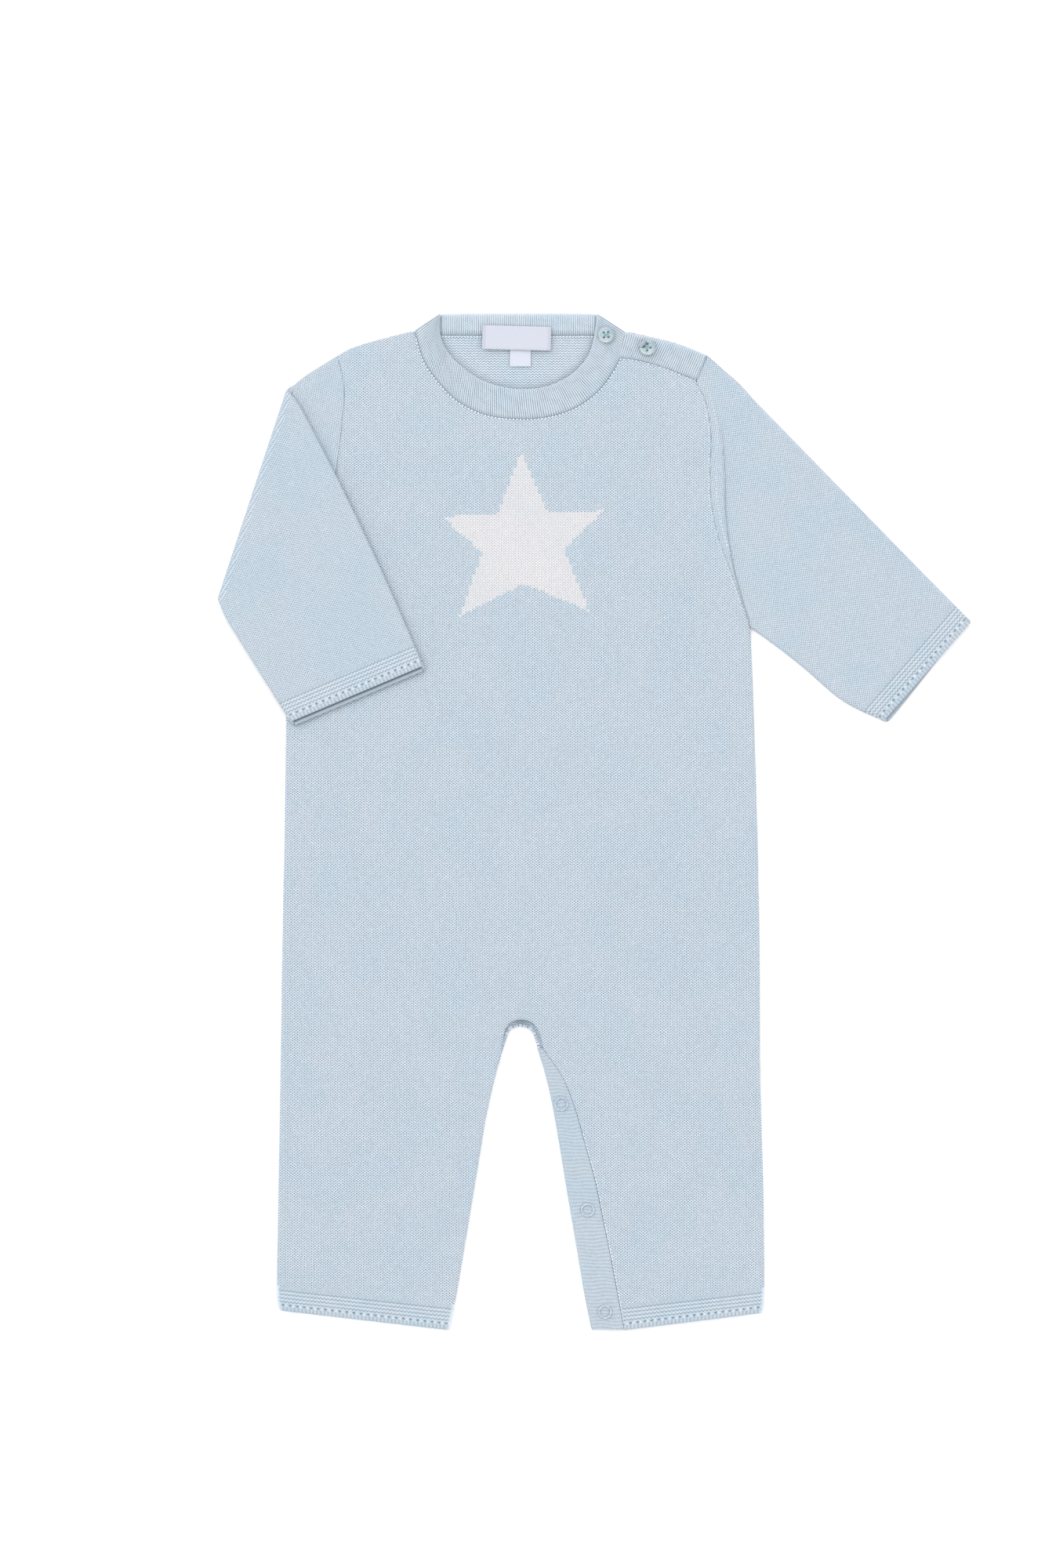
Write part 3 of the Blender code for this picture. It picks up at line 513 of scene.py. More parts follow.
class Nodes:
    """Short ways to add and join the shader nodes of one tree."""

    def __init__(self, tree: Tree) -> None:
        """Work on a tree."""
        self.tree = tree

    def put(self, socket: Socket, value: object) -> None:
        """Join a socket to another, or set its value.

        Args:
            socket: the input socket.
            value: an output socket or a value, which for a colour is its red, green and blue.
        """
        if isinstance(value, Socket):
            self.tree.links.new(value, socket)
        else:
            socket.default_value = (*value, 1.0) if socket.type == "RGBA" else value

    def feed(self, node: bpy.types.Node, inputs: dict) -> None:
        """Put sockets or values into a node's inputs, by their names or numbers."""
        for key, value in inputs.items():
            self.put(node.inputs[key], value)

    def add(self, kind: str, inputs: dict | None = None, **settings: object) -> bpy.types.Node:
        """A new node.

        Args:
            kind: its kind, without the prefix.
            inputs: what goes into its inputs, by their names or numbers.
            settings: its own settings.
        Returns:
            The node.
        """
        node = self.tree.nodes.new("ShaderNode" + kind)
        for key, value in settings.items():
            setattr(node, key, value)
        self.feed(node, inputs or {})
        return node

    def math(self, operation: str, *values: object) -> Socket:
        """A value worked out from one or two others."""
        return self.add("Math", dict(enumerate(values)), operation=operation).outputs[0]

    def times(self, first: object, second: object) -> Socket:
        """Two values multiplied."""
        return self.math("MULTIPLY", first, second)

    def plus(self, first: object, second: object) -> Socket:
        """Two values added."""
        return self.math("ADD", first, second)

    def minus(self, first: object, second: object) -> Socket:
        """The first value less the second."""
        return self.math("SUBTRACT", first, second)

    def vector(self, operation: str, *values: object, out: str = "Vector") -> Socket:
        """A vector, or a value such as a dot product, from one or two vectors."""
        return self.add("VectorMath", dict(enumerate(values)), operation=operation).outputs[out]

    def combined(self, x: object, y: object) -> Socket:
        """A vector from an x and a y."""
        return self.add("CombineXYZ", {"X": x, "Y": y}).outputs[0]

    def separated(self, vector: Socket) -> tuple[Socket, ...]:
        """The x and y of a vector."""
        node = self.add("SeparateXYZ", {0: vector})
        return node.outputs["X"], node.outputs["Y"]

    def eased(self, value: object, low: float, high: float) -> Socket:
        """0 below low, 1 above high and a smooth rise between."""
        limits = {"Value": value, "From Min": low, "From Max": high}
        return self.add("MapRange", limits, interpolation_type="SMOOTHSTEP").outputs["Result"]

    def mixed(self, factor: object, first: object, second: object, way: str = "MIX") -> Socket:
        """A colour between two others, or blended from them in another way."""
        colours = {0: factor, 6: first, 7: second}
        return self.add("Mix", colours, data_type="RGBA", blend_type=way).outputs[2]

    def tinted(self, colour: object, tint: Colour) -> Socket:
        """A colour multiplied by a tint."""
        return self.mixed(1.0, colour, tint, "MULTIPLY")

    def noise(self, vector: object, scale: float, detail: float = 2.0) -> Socket:
        """Smooth noise, about 0.3 to 0.7."""
        inputs = {"Vector": vector, "Scale": scale, "Detail": detail}
        return self.add("TexNoise", inputs).outputs["Fac"]

    def noise_colour(self, vector: object, scale: float) -> Socket:
        """Smooth noise of three unlike channels, each near 0.5."""
        inputs = {"Vector": vector, "Scale": scale, "Detail": 1.0}
        return self.add("TexNoise", inputs, noise_dimensions="2D").outputs["Color"]

    def cell_noise(self, vector: object) -> Socket:
        """A value from 0 to 1 that is the same all over each whole-numbered cell."""
        inputs = {"Vector": self.vector("FLOOR", vector)}
        return self.add("TexWhiteNoise", inputs, noise_dimensions="2D").outputs["Value"]

    def bump(self, height: object, distance: float) -> Socket:
        """A normal raised by a height of up to the distance, in metres."""
        inputs = {"Strength": 1.0, "Distance": distance, "Height": height}
        return self.add("Bump", inputs).outputs["Normal"]


def shader_group(name: str, inputs: dict[str, str], outputs: dict[str, str]) -> tuple:
    """A new shader node group.

    Args:
        name: the group's name.
        inputs: its input sockets' names and kinds.
        outputs: its output sockets' names and kinds.
    Returns:
        The group, its Nodes, its input node's outputs and its output node's inputs.
    """
    group = bpy.data.node_groups.new(name, "ShaderNodeTree")
    for names, way in ((inputs, "INPUT"), (outputs, "OUTPUT")):
        for label, kind in names.items():
            group.interface.new_socket(name=label, in_out=way, socket_type="NodeSocket" + kind)
    nodes = Nodes(group)
    start, end = group.nodes.new("NodeGroupInput"), group.nodes.new("NodeGroupOutput")
    return group, nodes, start.outputs, end.inputs


def new_material(name: str) -> tuple[Material, Nodes, bpy.types.ShaderNodeBsdfPrincipled]:
    """A new material, its nodes and its Principled shader.

    Args:
        name: its name.
    Returns:
        The material, its Nodes and its shader node.
    """
    material = bpy.data.materials.new(name)
    material.use_nodes = True
    return material, Nodes(material.node_tree), material.node_tree.nodes["Principled BSDF"]


def loops_group() -> Tree:
    """The face of stocking stitch, from a vector in stitches.

    A wale is two legs that lean together into a V. Across a leg and along it the yarn's height is a
    rounded sine, and the leg's phase slants away from the middle of the wale. The holes lie between
    the legs and between the wales, half a course apart, at the crests of a product of two cosines.

    Returns:
        The group.
    """
    group, n, start, end = shader_group(
        "stocking_stitch", {"Stitches": "Vector"},
        {"Height": "Float", "Gap": "Float", "Leg": "Float", "Cell": "Vector"})
    drift = n.vector("SUBTRACT", n.noise_colour(start["Stitches"], 0.31), (0.5, 0.5, 0.5))
    drift = n.vector("MULTIPLY", drift, (0.28, 0.35, 0.0))
    across, along = n.separated(n.vector("ADD", start["Stitches"], drift))
    from_middle = n.math("ABSOLUTE", n.minus(n.times(n.math("FRACT", across), 2.0), 1.0))
    slanted = n.minus(along, n.times(from_middle, 0.55))
    width = n.math("SINE", n.times(from_middle, math.pi))
    rise = n.math("SINE", n.times(n.math("FRACT", slanted), math.pi))
    height = n.times(n.math("POWER", width, 0.6), n.math("POWER", rise, 0.5))
    n.put(end["Height"], height)
    # The gap mask: the holes and the ground between the legs, which the marl group paints as shade.
    wave = n.times(n.math("COSINE", n.times(across, 2.0 * math.pi)),
                   n.math("COSINE", n.times(along, 2.0 * math.pi)))
    hole = n.math("POWER", n.plus(n.times(wave, 0.5), 0.5), 1.5)
    between = n.minus(1.0, n.eased(height, 0.05, 0.75))
    n.put(end["Gap"], n.plus(n.times(hole, 0.88), n.times(between, 0.12)))
    n.put(end["Leg"], n.cell_noise(n.combined(n.times(across, 2.0), slanted)))
    n.put(end["Cell"], n.combined(n.math("FLOOR", across), n.math("FLOOR", slanted)))
    return group


def purl_group() -> Tree:
    """The back of stocking stitch: level rows of small arches, from a vector in stitches.

    Returns:
        The group.
    """
    group, n, start, end = shader_group(
        "purl_stitch", {"Stitches": "Vector"}, {"Height": "Float", "Gap": "Float", "Leg": "Float"})
    across, along = n.separated(start["Stitches"])
    wave = n.times(n.math("COSINE", n.times(across, 2.0 * math.pi)), 0.28)
    phase = n.plus(along, wave)
    height = n.math("ABSOLUTE", n.math("SINE", n.times(phase, math.pi)))
    n.put(end["Height"], height)
    # The gap mask between the rows, which the marl group paints as shade.
    n.put(end["Gap"], n.minus(1.0, n.eased(height, 0.05, 0.7)))
    n.put(end["Leg"], n.cell_noise(n.combined(n.times(across, 2.0), phase)))
    return group


def marl_group() -> Tree:
    """The yarn's colour: two shades flecked leg by leg, clouds of a cooler and darker tint that are
    partly the yarn's own tone and partly painted soft shade, and painted shade in the gaps.

    Returns:
        The group.
    """
    group, n, start, end = shader_group(
        "marl_yarn",
        {"Light": "Color", "Dark": "Color", "Shade": "Color", "Leg": "Float", "Gap": "Float",
         "Stitches": "Vector", "Place": "Vector"},
        {"Colour": "Color"})
    fibres = n.cell_noise(n.vector("MULTIPLY", start["Stitches"], (5.0, 3.0, 1.0)))
    fleck = n.plus(n.times(start["Leg"], 0.3), n.times(fibres, 0.7))
    # Painted shade: the gaps are mixed towards the yarn's shade colour.
    yarn = n.mixed(start["Gap"], n.mixed(fleck, start["Dark"], start["Light"]), start["Shade"])
    # Soft clouds of a cooler, darker tint: partly the yarn's own tone, partly painted soft shade.
    cool_tint_and_shade = n.eased(n.noise(start["Place"], 34.0, 3.0), 0.40, 0.62)
    yarn = n.mixed(cool_tint_and_shade, yarn, n.tinted(yarn, (0.95, 0.985, 1.0)))
    warm = n.eased(n.noise(start["Place"], 75.0, 2.0), 0.50, 0.68)
    n.put(end["Colour"], n.mixed(warm, yarn, n.tinted(yarn, (1.008, 0.992, 1.0))))
    return group


@dataclass(frozen=True)
class StarMotif:
    """The star knitted into the chest, one white stitch at a time.

    Its half outline is the line tip, notch, arm, notch, foot, notch about its middle, each point
    given by its angle from straight up and its distance from the middle. A stitch is white where
    its own middle lies inside. The feet stand wider than a regular star's, the courses climb to the
    right by the slope, and the tip leans a little to the left.
    """

    middle: tuple[float, float] = (1.3, 150.0)
    slope: float = 0.036
    lean: float = 0.02
    arms: Line = (
        (0.0, 47.5), (43.0, 19.6), (71.5, 45.6), (104.0, 22.6), (138.5, 52.4), (180.0, 23.0))

    def mask(self, n: Nodes, cell: Socket) -> Socket:
        """1 on white stitches, by testing each sixth of the half star against its own edge.

        Args:
            n: the material's nodes.
            cell: the number of the wale and of the course.
        Returns:
            The mask's socket.
        """
        place = n.vector("MULTIPLY", n.vector("ADD", cell, (0.5, 0.5, 0.0)), (WALE, COURSE, 0.0))
        place = n.vector("SUBTRACT", place, (*self.middle, 0.0))
        x, y = n.separated(place)
        level = n.minus(y, n.times(x, self.slope))
        upright = n.plus(x, n.times(y, self.lean))
        folded = n.combined(n.math("ABSOLUTE", upright), level)
        corners = [(math.sin(math.radians(angle)) * far, math.cos(math.radians(angle)) * far)
                   for angle, far in self.arms]
        total: object = 0.0
        for (ax, ay), (bx, by) in zip(corners, corners[1:]):
            past = n.vector("DOT_PRODUCT", folded, (ay, -ax, 0.0), out="Value")
            before = n.vector("DOT_PRODUCT", folded, (-by, bx, 0.0), out="Value")
            edge = n.vector("DOT_PRODUCT", folded, (ay - by, bx - ax, 0.0), out="Value")
            short = n.math("LESS_THAN", edge, ax * (ay - by) + ay * (bx - ax))
            wedge = n.times(n.math("GREATER_THAN", past, -1e-4), n.math("GREATER_THAN", before, 1e-4))
            total = n.plus(total, n.times(wedge, short))
        return n.math("MINIMUM", total, 1.0)


class Stitch(Enum):
    """Which stitch a knitted finish shows."""

    STOCKING = "stocking_stitch"
    PURL = "purl_stitch"
    IN_MESH = "stitches in the mesh"


@dataclass(frozen=True)
class Yarn:
    """The colours of one yarn, as linear light: its light and dark fibres, and the painted shade in its
    gaps.
    """

    light: Colour
    dark: Colour
    hollow_shade: Colour


BLUE_YARN = Yarn(light=linear(229, 241, 251), dark=linear(205, 217, 228), hollow_shade=linear(90, 104, 117))
RIB_YARN = Yarn(light=linear(214, 225, 234), dark=linear(194, 206, 215), hollow_shade=linear(104, 117, 129))
PURL_YARN = Yarn(light=linear(208, 219, 230), dark=linear(188, 200, 211), hollow_shade=linear(116, 129, 141))
LOOP_YARN = Yarn(light=linear(226, 237, 245), dark=linear(204, 216, 226), hollow_shade=linear(84, 98, 111))
THREAD_YARN = Yarn(light=linear(186, 218, 225), dark=linear(150, 192, 202), hollow_shade=linear(92, 134, 146))
WHITE_YARN = Yarn(light=linear(240, 238, 240), dark=linear(226, 225, 227), hollow_shade=linear(170, 172, 178))


@dataclass(frozen=True)
class KnitFinish:
    """Matt knitted yarn, with its stitches in the bump or in the mesh, and painted shade in its gaps.

    Evenness draws the painted shade of all gaps towards one depth, for cloth that is stretched flatter.
    """

    name: str
    stitch: Stitch
    yarn: Yarn
    relief: float = 0.00035
    gap_depth: float = 0.95
    evenness: float = 0.0
    star: StarMotif | None = None

    def build(self, groups: dict[str, Tree]) -> Material:
        """Make the material.

        Args:
            groups: the shader node groups by name.
        Returns:
            The material.
        """
        material, n, shader = new_material(self.name)
        stitches = n.add("UVMap", uv_map="stitches").outputs[0]
        place = n.add("TexCoord").outputs["Object"]
        hollow_shade = n.add("Attribute", attribute_name="hollow_shade").outputs["Fac"]
        # Painted shade: the gaps, and the mesh's attribute of painted shade, darken the yarn's colour.
        if self.stitch is Stitch.IN_MESH:
            leg = n.cell_noise(stitches)
            height = n.noise(stitches, 3.1, 1.0)
            gap = n.times(hollow_shade, self.gap_depth)
            cell = None
        else:
            loops = n.add("Group", {"Stitches": stitches}, node_tree=groups[self.stitch.value])
            leg, height = loops.outputs["Leg"], loops.outputs["Height"]
            gap = n.times(loops.outputs["Gap"], self.gap_depth * (1.0 - self.evenness))
            gap = n.plus(gap, EVEN_GAP_SHADE * self.gap_depth * self.evenness)
            gap = n.math("MAXIMUM", gap, hollow_shade)
            cell = loops.outputs["Cell"] if self.stitch is Stitch.STOCKING else None
        colour = self._marl(n, groups, self.yarn, leg, gap, stitches, place)
        if self.star and cell:
            white = self._marl(n, groups, WHITE_YARN, leg, gap, stitches, place)
            colour = n.mixed(self.star.mask(n, cell), colour, white)
        n.feed(shader, {
            "Base Color": colour, "Normal": n.bump(height, self.relief), "Roughness": 0.92,
            "Specular IOR Level": 0.2, "Sheen Weight": 0.12, "Sheen Roughness": 0.5})
        return material

    @staticmethod
    def _marl(n: Nodes, groups: dict[str, Tree], yarn: Yarn,
              leg: object, gap: object, stitches: object, place: object) -> Socket:
        """The marl group with one yarn's shades.

        Args:
            n: the material's nodes.
            groups: the shader node groups by name.
            yarn: the yarn's shades.
            leg: a value from 0 to 1 for each leg of a stitch.
            gap: how much painted shade a point gets in a gap.
            stitches: the place in stitches.
            place: the place in metres.
        Returns:
            The colour's socket.
        """
        inputs = {"Light": yarn.light, "Dark": yarn.dark, "Shade": yarn.hollow_shade,
                  "Leg": leg, "Gap": gap, "Stitches": stitches, "Place": place}
        return n.add("Group", inputs, node_tree=groups["marl_yarn"]).outputs["Colour"]


@dataclass(frozen=True)
class SatinFinish:
    """Satin ribbon: fine level threads with a soft gloss."""

    name: str
    face: Colour = linear(200, 203, 213)
    thread: Colour = linear(168, 172, 187)

    def build(self) -> Material:
        """Make the material, with threads 0.35 mm apart.

        Returns:
            The material.
        """
        material, n, shader = new_material(self.name)
        stitches = n.add("UVMap", uv_map="stitches").outputs[0]
        x, y = n.separated(stitches)
        threads = n.math("ABSOLUTE", n.math("SINE", n.times(y, math.pi / 0.35)))
        grain = n.noise(n.combined(n.times(x, 0.35), n.times(y, 3.0)), 2.0, 3.0)
        shade = n.plus(n.times(threads, 0.5), n.times(grain, 0.5))
        # Painted shade: the ribbon's turned-in ends are darker.
        turned_in_shade = n.times(n.eased(n.math("ABSOLUTE", x), 16.2, 16.9), 0.5)
        ribbon = n.mixed(shade, self.thread, self.face)
        n.feed(shader, {
            "Base Color": n.mixed(turned_in_shade, ribbon, self.thread),
            "Roughness": n.plus(n.times(grain, 0.2), 0.32),
            "Normal": n.bump(threads, 0.00004), "Sheen Weight": 0.15})
        return material


@dataclass(frozen=True)
class ShellFinish:
    """Mother-of-pearl: pale turquoise and silver layers under a clear gloss, with painted shade from the
    mesh's attribute.
    """

    name: str
    silver: Colour = linear(180, 191, 197)
    turquoise: Colour = linear(154, 174, 181)
    rose: Colour = linear(194, 196, 200)
    shade_colour: Colour = linear(52, 88, 98)

    def build(self) -> Material:
        """Make the material, whose layers are warped bands of noise.

        Returns:
            The material.
        """
        material, n, shader = new_material(self.name)
        place = n.add("TexCoord").outputs["Object"]
        cloud = n.noise(place, 260.0, 3.0)
        bands = n.noise(n.vector("ADD", place, cloud), 420.0, 2.0)
        colour = n.mixed(n.eased(cloud, 0.35, 0.65), self.turquoise, self.silver)
        colour = n.mixed(n.eased(bands, 0.5, 0.75), colour, self.rose)
        # Painted shade: the mesh's attribute mixes in the shade colour in the holes, on the rim and under
        # the buttonhole's lip.
        colour = n.mixed(n.add("Attribute", attribute_name="hollow_shade").outputs["Fac"], colour, self.shade_colour)
        n.feed(shader, {
            "Base Color": colour, "Roughness": n.plus(n.times(bands, 0.2), 0.12),
            "Coat Weight": 0.6, "Coat Roughness": 0.08})
        return material


@dataclass(frozen=True)
class LacquerFinish:
    """A lacquered ring with a faint grain."""

    name: str
    face: Colour = linear(196, 211, 224)
    worn: Colour = linear(168, 184, 198)

    def build(self) -> Material:
        """Make the material, a little duller where the lacquer is worn.

        Returns:
            The material.
        """
        material, n, shader = new_material(self.name)
        grain = n.noise(n.add("TexCoord").outputs["Object"], 900.0, 3.0)
        n.feed(shader, {
            "Base Color": n.mixed(n.eased(grain, 0.35, 0.7), self.face, self.worn),
            "Roughness": n.plus(n.times(grain, 0.3), 0.25), "Metallic": 0.15})
        return material


class Finishes:
    """The shader node groups, and the finishes that several pieces share."""

    def __init__(self) -> None:
        """Build the groups once, and then the shared finishes."""
        self.groups = {group.name: group for group in (loops_group(), purl_group(), marl_group())}
        self.plain = self.knit("plain_knit", Stitch.STOCKING, BLUE_YARN, relief=0.0002, evenness=0.4)
        self.band = self.knit("band_knit", Stitch.IN_MESH, RIB_YARN, relief=0.00012, gap_depth=1.0)
        self.loop = self.knit("loop_knit", Stitch.IN_MESH, LOOP_YARN, relief=0.00010, gap_depth=1.0)
        self.rib = self.knit("rib_knit", Stitch.IN_MESH, RIB_YARN, relief=0.00012)

    def knit(self, name: str, stitch: Stitch, yarn: Yarn, **settings: object) -> Material:
        """A knitted finish with this object's groups."""
        return KnitFinish(name, stitch, yarn, **settings).build(self.groups)


# How the cloth lies.

@dataclass(frozen=True)
class Crease:
    """A soft ridge, or a trough where its height is negative, along a straight stretch."""

    start: tuple[float, float]
    end: tuple[float, float]
    width: float
    height: float

    def over(self, plan: Array) -> Array:
        """Its height over the plan: a bell across it, fading at its ends.

        Args:
            plan: points of the plan.
        Returns:
            The heights, in millimetres.
        """
        line = np.array((self.start, self.end))
        step = line[1] - line[0]
        share = ((plan[..., :2] - line[0]) @ step) / (step @ step)
        fade = eased(share, -0.25, 0.25) * (1.0 - eased(share, 0.75, 1.25))
        offset = plan[..., :2] - line[0] - share[..., None] * step
        return self.height * fade * bell(np.linalg.norm(offset, axis=-1), self.width)


FRONT_CREASES = (
    # the pinch at the side of the right leg, with the cloth raised on both sides of it
    Crease((128.5, -181.5), (111.5, -201.5), 1.5, -0.75),
    Crease((128.0, -187.5), (112.0, -206.0), 3.2, 0.45),
    Crease((124.0, -178.0), (106.0, -198.0), 4.0, 0.30),
    Crease((122.5, -138.0), (122.8, -176.0), 1.2, -0.45),
    # down the insides of the legs
    Crease((-27.0, -112.0), (-39.0, -188.0), 7.0, 0.55),
    Crease((-46.0, -120.0), (-58.0, -200.0), 9.0, -0.35),
    Crease((34.0, -138.0), (53.0, -210.0), 5.5, 0.45),
    Crease((64.0, -120.0), (78.0, -200.0), 11.0, -0.25),
    # round the crotch
    Crease((0.0, -92.0), (2.0, -101.0), 7.0, 0.40),
    Crease((-11.0, -104.0), (-30.0, -78.0), 5.0, 0.30),
    Crease((12.0, -104.0), (36.0, -76.0), 6.0, 0.25),
    # beside the armhole of the straight sleeve
    Crease((86.5, 214.0), (85.0, 172.0), 3.5, 0.35),
    Crease((78.0, 222.0), (76.0, 176.0), 5.0, -0.30),
    Crease((66.0, 226.0), (64.0, 180.0), 5.0, 0.22),
    Crease((95.0, 150.0), (60.0, 120.0), 12.0, 0.45),
    Crease((112.0, 96.0), (70.0, 70.0), 12.0, -0.45),
    Crease((116.0, 60.0), (88.0, 20.0), 14.0, 0.35),
    # slow waves down the body
    Crease((-60.0, 60.0), (-66.0, -60.0), 16.0, 0.35),
    Crease((40.0, 40.0), (34.0, -70.0), 18.0, 0.30),
    Crease((-20.0, 100.0), (10.0, 20.0), 20.0, -0.30),
)

STRAIGHT_CREASES = (
    Crease((128.0, 150.0), (150.0, 108.0), 9.0, 0.35),
    Crease((150.0, 170.0), (196.0, 100.0), 14.0, 0.30),
    Crease((172.0, 128.0), (214.0, 86.0), 8.0, -0.28),
    Crease((134.0, 104.0), (176.0, 74.0), 6.0, 0.35),
    Crease((118.0, 210.0), (112.0, 150.0), 5.0, -0.30),
)
FOLDED_CREASES = (
    Crease((-112.0, 196.0), (-88.0, 120.0), 13.0, 0.30),
    Crease((-140.0, 150.0), (-116.0, 84.0), 12.0, 0.35),
    Crease((-128.0, 176.0), (-96.0, 96.0), 8.0, -0.25),
    Crease((-146.0, 118.0), (-112.0, 64.0), 5.0, 0.25),
)


def valley_lift(plan: Array) -> Array:
    """The ridge along the straight sleeve's armhole and its steep fall to the sleeve.

    Args:
        plan: points of the plan.
    Returns:
        How far the cloth is lifted.
    """
    valley = smooth_curve(VALLEY, 60)
    outside = np.sign(plan[..., 0] - x_at(valley, plan[..., 1]))
    lift = np.interp(distance_to(plan, valley) * outside, *np.array(VALLEY_LIFT).T)
    y = plan[..., 1]
    return lift * eased(y, 103.0, 124.0) * (1.0 - eased(y, 206.0, 238.0))


def valley_shade(plan: Array) -> Array:
    """The shade in the valley: deep at the ridge's foot and faint for a centimetre beyond it.

    Args:
        plan: points of the plan.
    Returns:
        The hollow values.
    """
    valley = smooth_curve(VALLEY, 60)
    away = distance_to(plan, valley)
    outside = plan[..., 0] > x_at(valley, plan[..., 1]) - 0.4
    y = plan[..., 1]
    shade = (0.55 * bell(away, 0.9) + 0.16 * np.exp(-away / 8.0)) * outside
    return shade * eased(y, 101.0, 108.0) * (1.0 - eased(y, 194.0, 228.0))


def undulation(plan: Array) -> Array:
    """Slow unevenness of cloth smoothed out by hand: three crossing waves of unlike lengths.

    Args:
        plan: points of the plan.
    Returns:
        The heights.
    """
    x, y = plan[..., 0], plan[..., 1]
    return (0.10 * np.sin(x / 13.0 + 0.6 * np.sin(y / 31.0)) + 0.09 * np.sin(y / 17.0 + x / 41.0)
            + 0.07 * np.sin((x - y) / 9.5 + 0.8 * np.sin(x / 23.0)))


def seed_relief(across: Array, along: Array) -> tuple[Array, Array]:
    """Seed stitch: the product of two cosines, crests and gaps standing like a chessboard.

    Args:
        across: distance across the band's stitches, in millimetres.
        along: distance from the band's free edge.
    Returns:
        The relief in millimetres and the hollow values.
    """
    lattice = np.cos(2 * np.pi * across / SEED) * np.cos(2 * np.pi * along / SEED)
    line = 0.5 - 0.5 * np.cos(2 * np.pi * (along - 0.35) / SEED)
    body = eased(along, BAND_EDGE - 0.2, BAND_EDGE + 0.6) * (
        1.0 - eased(along, BAND_DEPTH - 2.4, BAND_DEPTH - 0.8))
    ribs = np.cos(2 * np.pi * across / SEED)
    strip = 1.0 - eased(along, BAND_EDGE - 1.2, BAND_EDGE - 0.2)
    eyelets = bell(along - BAND_EDGE + 0.1, 0.5) * (0.5 - 0.5 * np.cos(2 * np.pi * across / EYELET)) ** 1.5
    relief = (0.16 * lattice - 0.09 * line ** 2) * body + 0.08 * ribs * strip - 0.5 * eyelets
    # Painted shade: in the lattice's gaps, along its lines and in the eyelets, a little over the whole
    # band, and more at its start and on the smooth strip.
    hollow_shade = (0.50 * (0.5 - 0.5 * lattice) ** 1.6 + 0.42 * line ** 3) * body
    plain = eased(along, BAND_DEPTH - 3.0, BAND_DEPTH - 0.8)
    hollow_shade = hollow_shade + 0.28 * (0.5 - 0.5 * ribs) * strip + 0.9 * eyelets + 0.13 + 0.34 * plain + 0.2 * strip
    return relief, np.clip(hollow_shade, 0.0, 1.0)


def scallop(across: Array, along: Array) -> Array:
    """How far the free edge dips in between the cast-on loops, in millimetres."""
    return -0.16 * (1.0 - np.cos(2 * np.pi * across / SEED)) * (1.0 - eased(along, 0.0, 1.5))


# The cut pieces.

@dataclass(frozen=True)
class HalfPanel:
    """One half of a body panel, between its outer side and the centre line or the leg gap.

    Above the chest it is a patch blended between its four edges, with rows that start as its top
    edge and end straight. Below the chest its rows are straight from side to centre or leg gap.
    """

    top: Array
    outer: Array
    inner: Array
    hem_outer_y: float
    outer_steps: Array
    inner_steps: Array
    middle: int = 40

    @property
    def crotch_y(self) -> float:
        """Height of the crotch, where the inner edge leaves the centre line."""
        return float(self.inner[0, 1])

    def upper(self, share: Array) -> Array:
        """The plan of the rows from the top edge down to the chest.

        Args:
            share: each row's share of the way down, the last one being 1.
        Returns:
            Rows by columns by x, y.
        """
        side = np.vstack((self.outer[self.outer[:, 1] > CHEST_Y], (x_at(self.outer, CHEST_Y), CHEST_Y)))
        corner, middle = side[-1], np.array((0.0, CHEST_Y))
        width = (1 - share) * length_of(self.top) + share * abs(corner[0])
        u = graded(width, self.outer_steps, self.inner_steps, self.middle) / width[:, None]
        s, u = share[:, None, None], u[..., None]
        top, bottom = at_shares(self.top, u[..., 0]), corner + u * (middle - corner)
        left = at_shares(side, share)[:, None]
        right = (self.top[-1] + share[:, None] * (middle - self.top[-1]))[:, None]
        straight_left = (1 - s) * self.top[0] + s * corner
        straight_right = (1 - s) * self.top[-1] + s * middle
        return ((1 - s) * top + s * bottom + (1 - u) * (left - straight_left)
                + u * (right - straight_right))

    def lower(self, inner_y: Array, middle: int | None = None) -> Array:
        """The plan of straight rows below the chest.

        Args:
            inner_y: each row's height on the centre line or the leg gap.
            middle: how many even steps a row has, if not the panel's own.
        Returns:
            Rows by columns by x, y.
        """
        drop = HEM_INNER_Y - self.hem_outer_y
        lag = eased(inner_y, HEM_INNER_Y, self.crotch_y - 20.0)
        outer_y = inner_y - drop * (1.0 - lag)
        inner_x = np.where(inner_y >= self.crotch_y, 0.0, x_at(self.inner, inner_y))
        start = np.stack((x_at(self.outer, outer_y), outer_y), axis=1)
        end = np.stack((inner_x, inner_y), axis=1)
        width = np.linalg.norm(end - start, axis=1)
        u = graded(width, self.outer_steps, self.inner_steps, middle or self.middle)
        return start[:, None] + (end - start)[:, None] * (u / width[:, None])[..., None]


class BodyRows:
    """Heights of a panel's rows on the centre line, close together at the crotch."""

    def __init__(self, crotch_y: float, last_y: float) -> None:
        """Work out the rows from the chest to the crotch, and from there to the last one.

        Args:
            crotch_y: height of the crotch.
            last_y: height of the last row.
        """
        below = np.array((0.0, 0.12, 0.4, 0.9, 1.6, 2.6, 4.0, 6.0, 8.5, 11.5, 15.0))
        torso = graded(CHEST_Y - crotch_y, np.array((0.0,)), FOLD_STEPS, 66)
        legs = graded(crotch_y - last_y, below, np.array((0.0,)), 42)
        self.y = np.concatenate((CHEST_Y - torso, crotch_y - legs[1:]))
        self.above = len(torso)


def cleaned(*parts: Array) -> Array:
    """The line made of some parts, without its doubled points."""
    points = np.vstack(parts)
    return points[np.append(True, np.linalg.norm(np.diff(points, axis=0), axis=1) > 1e-6)]


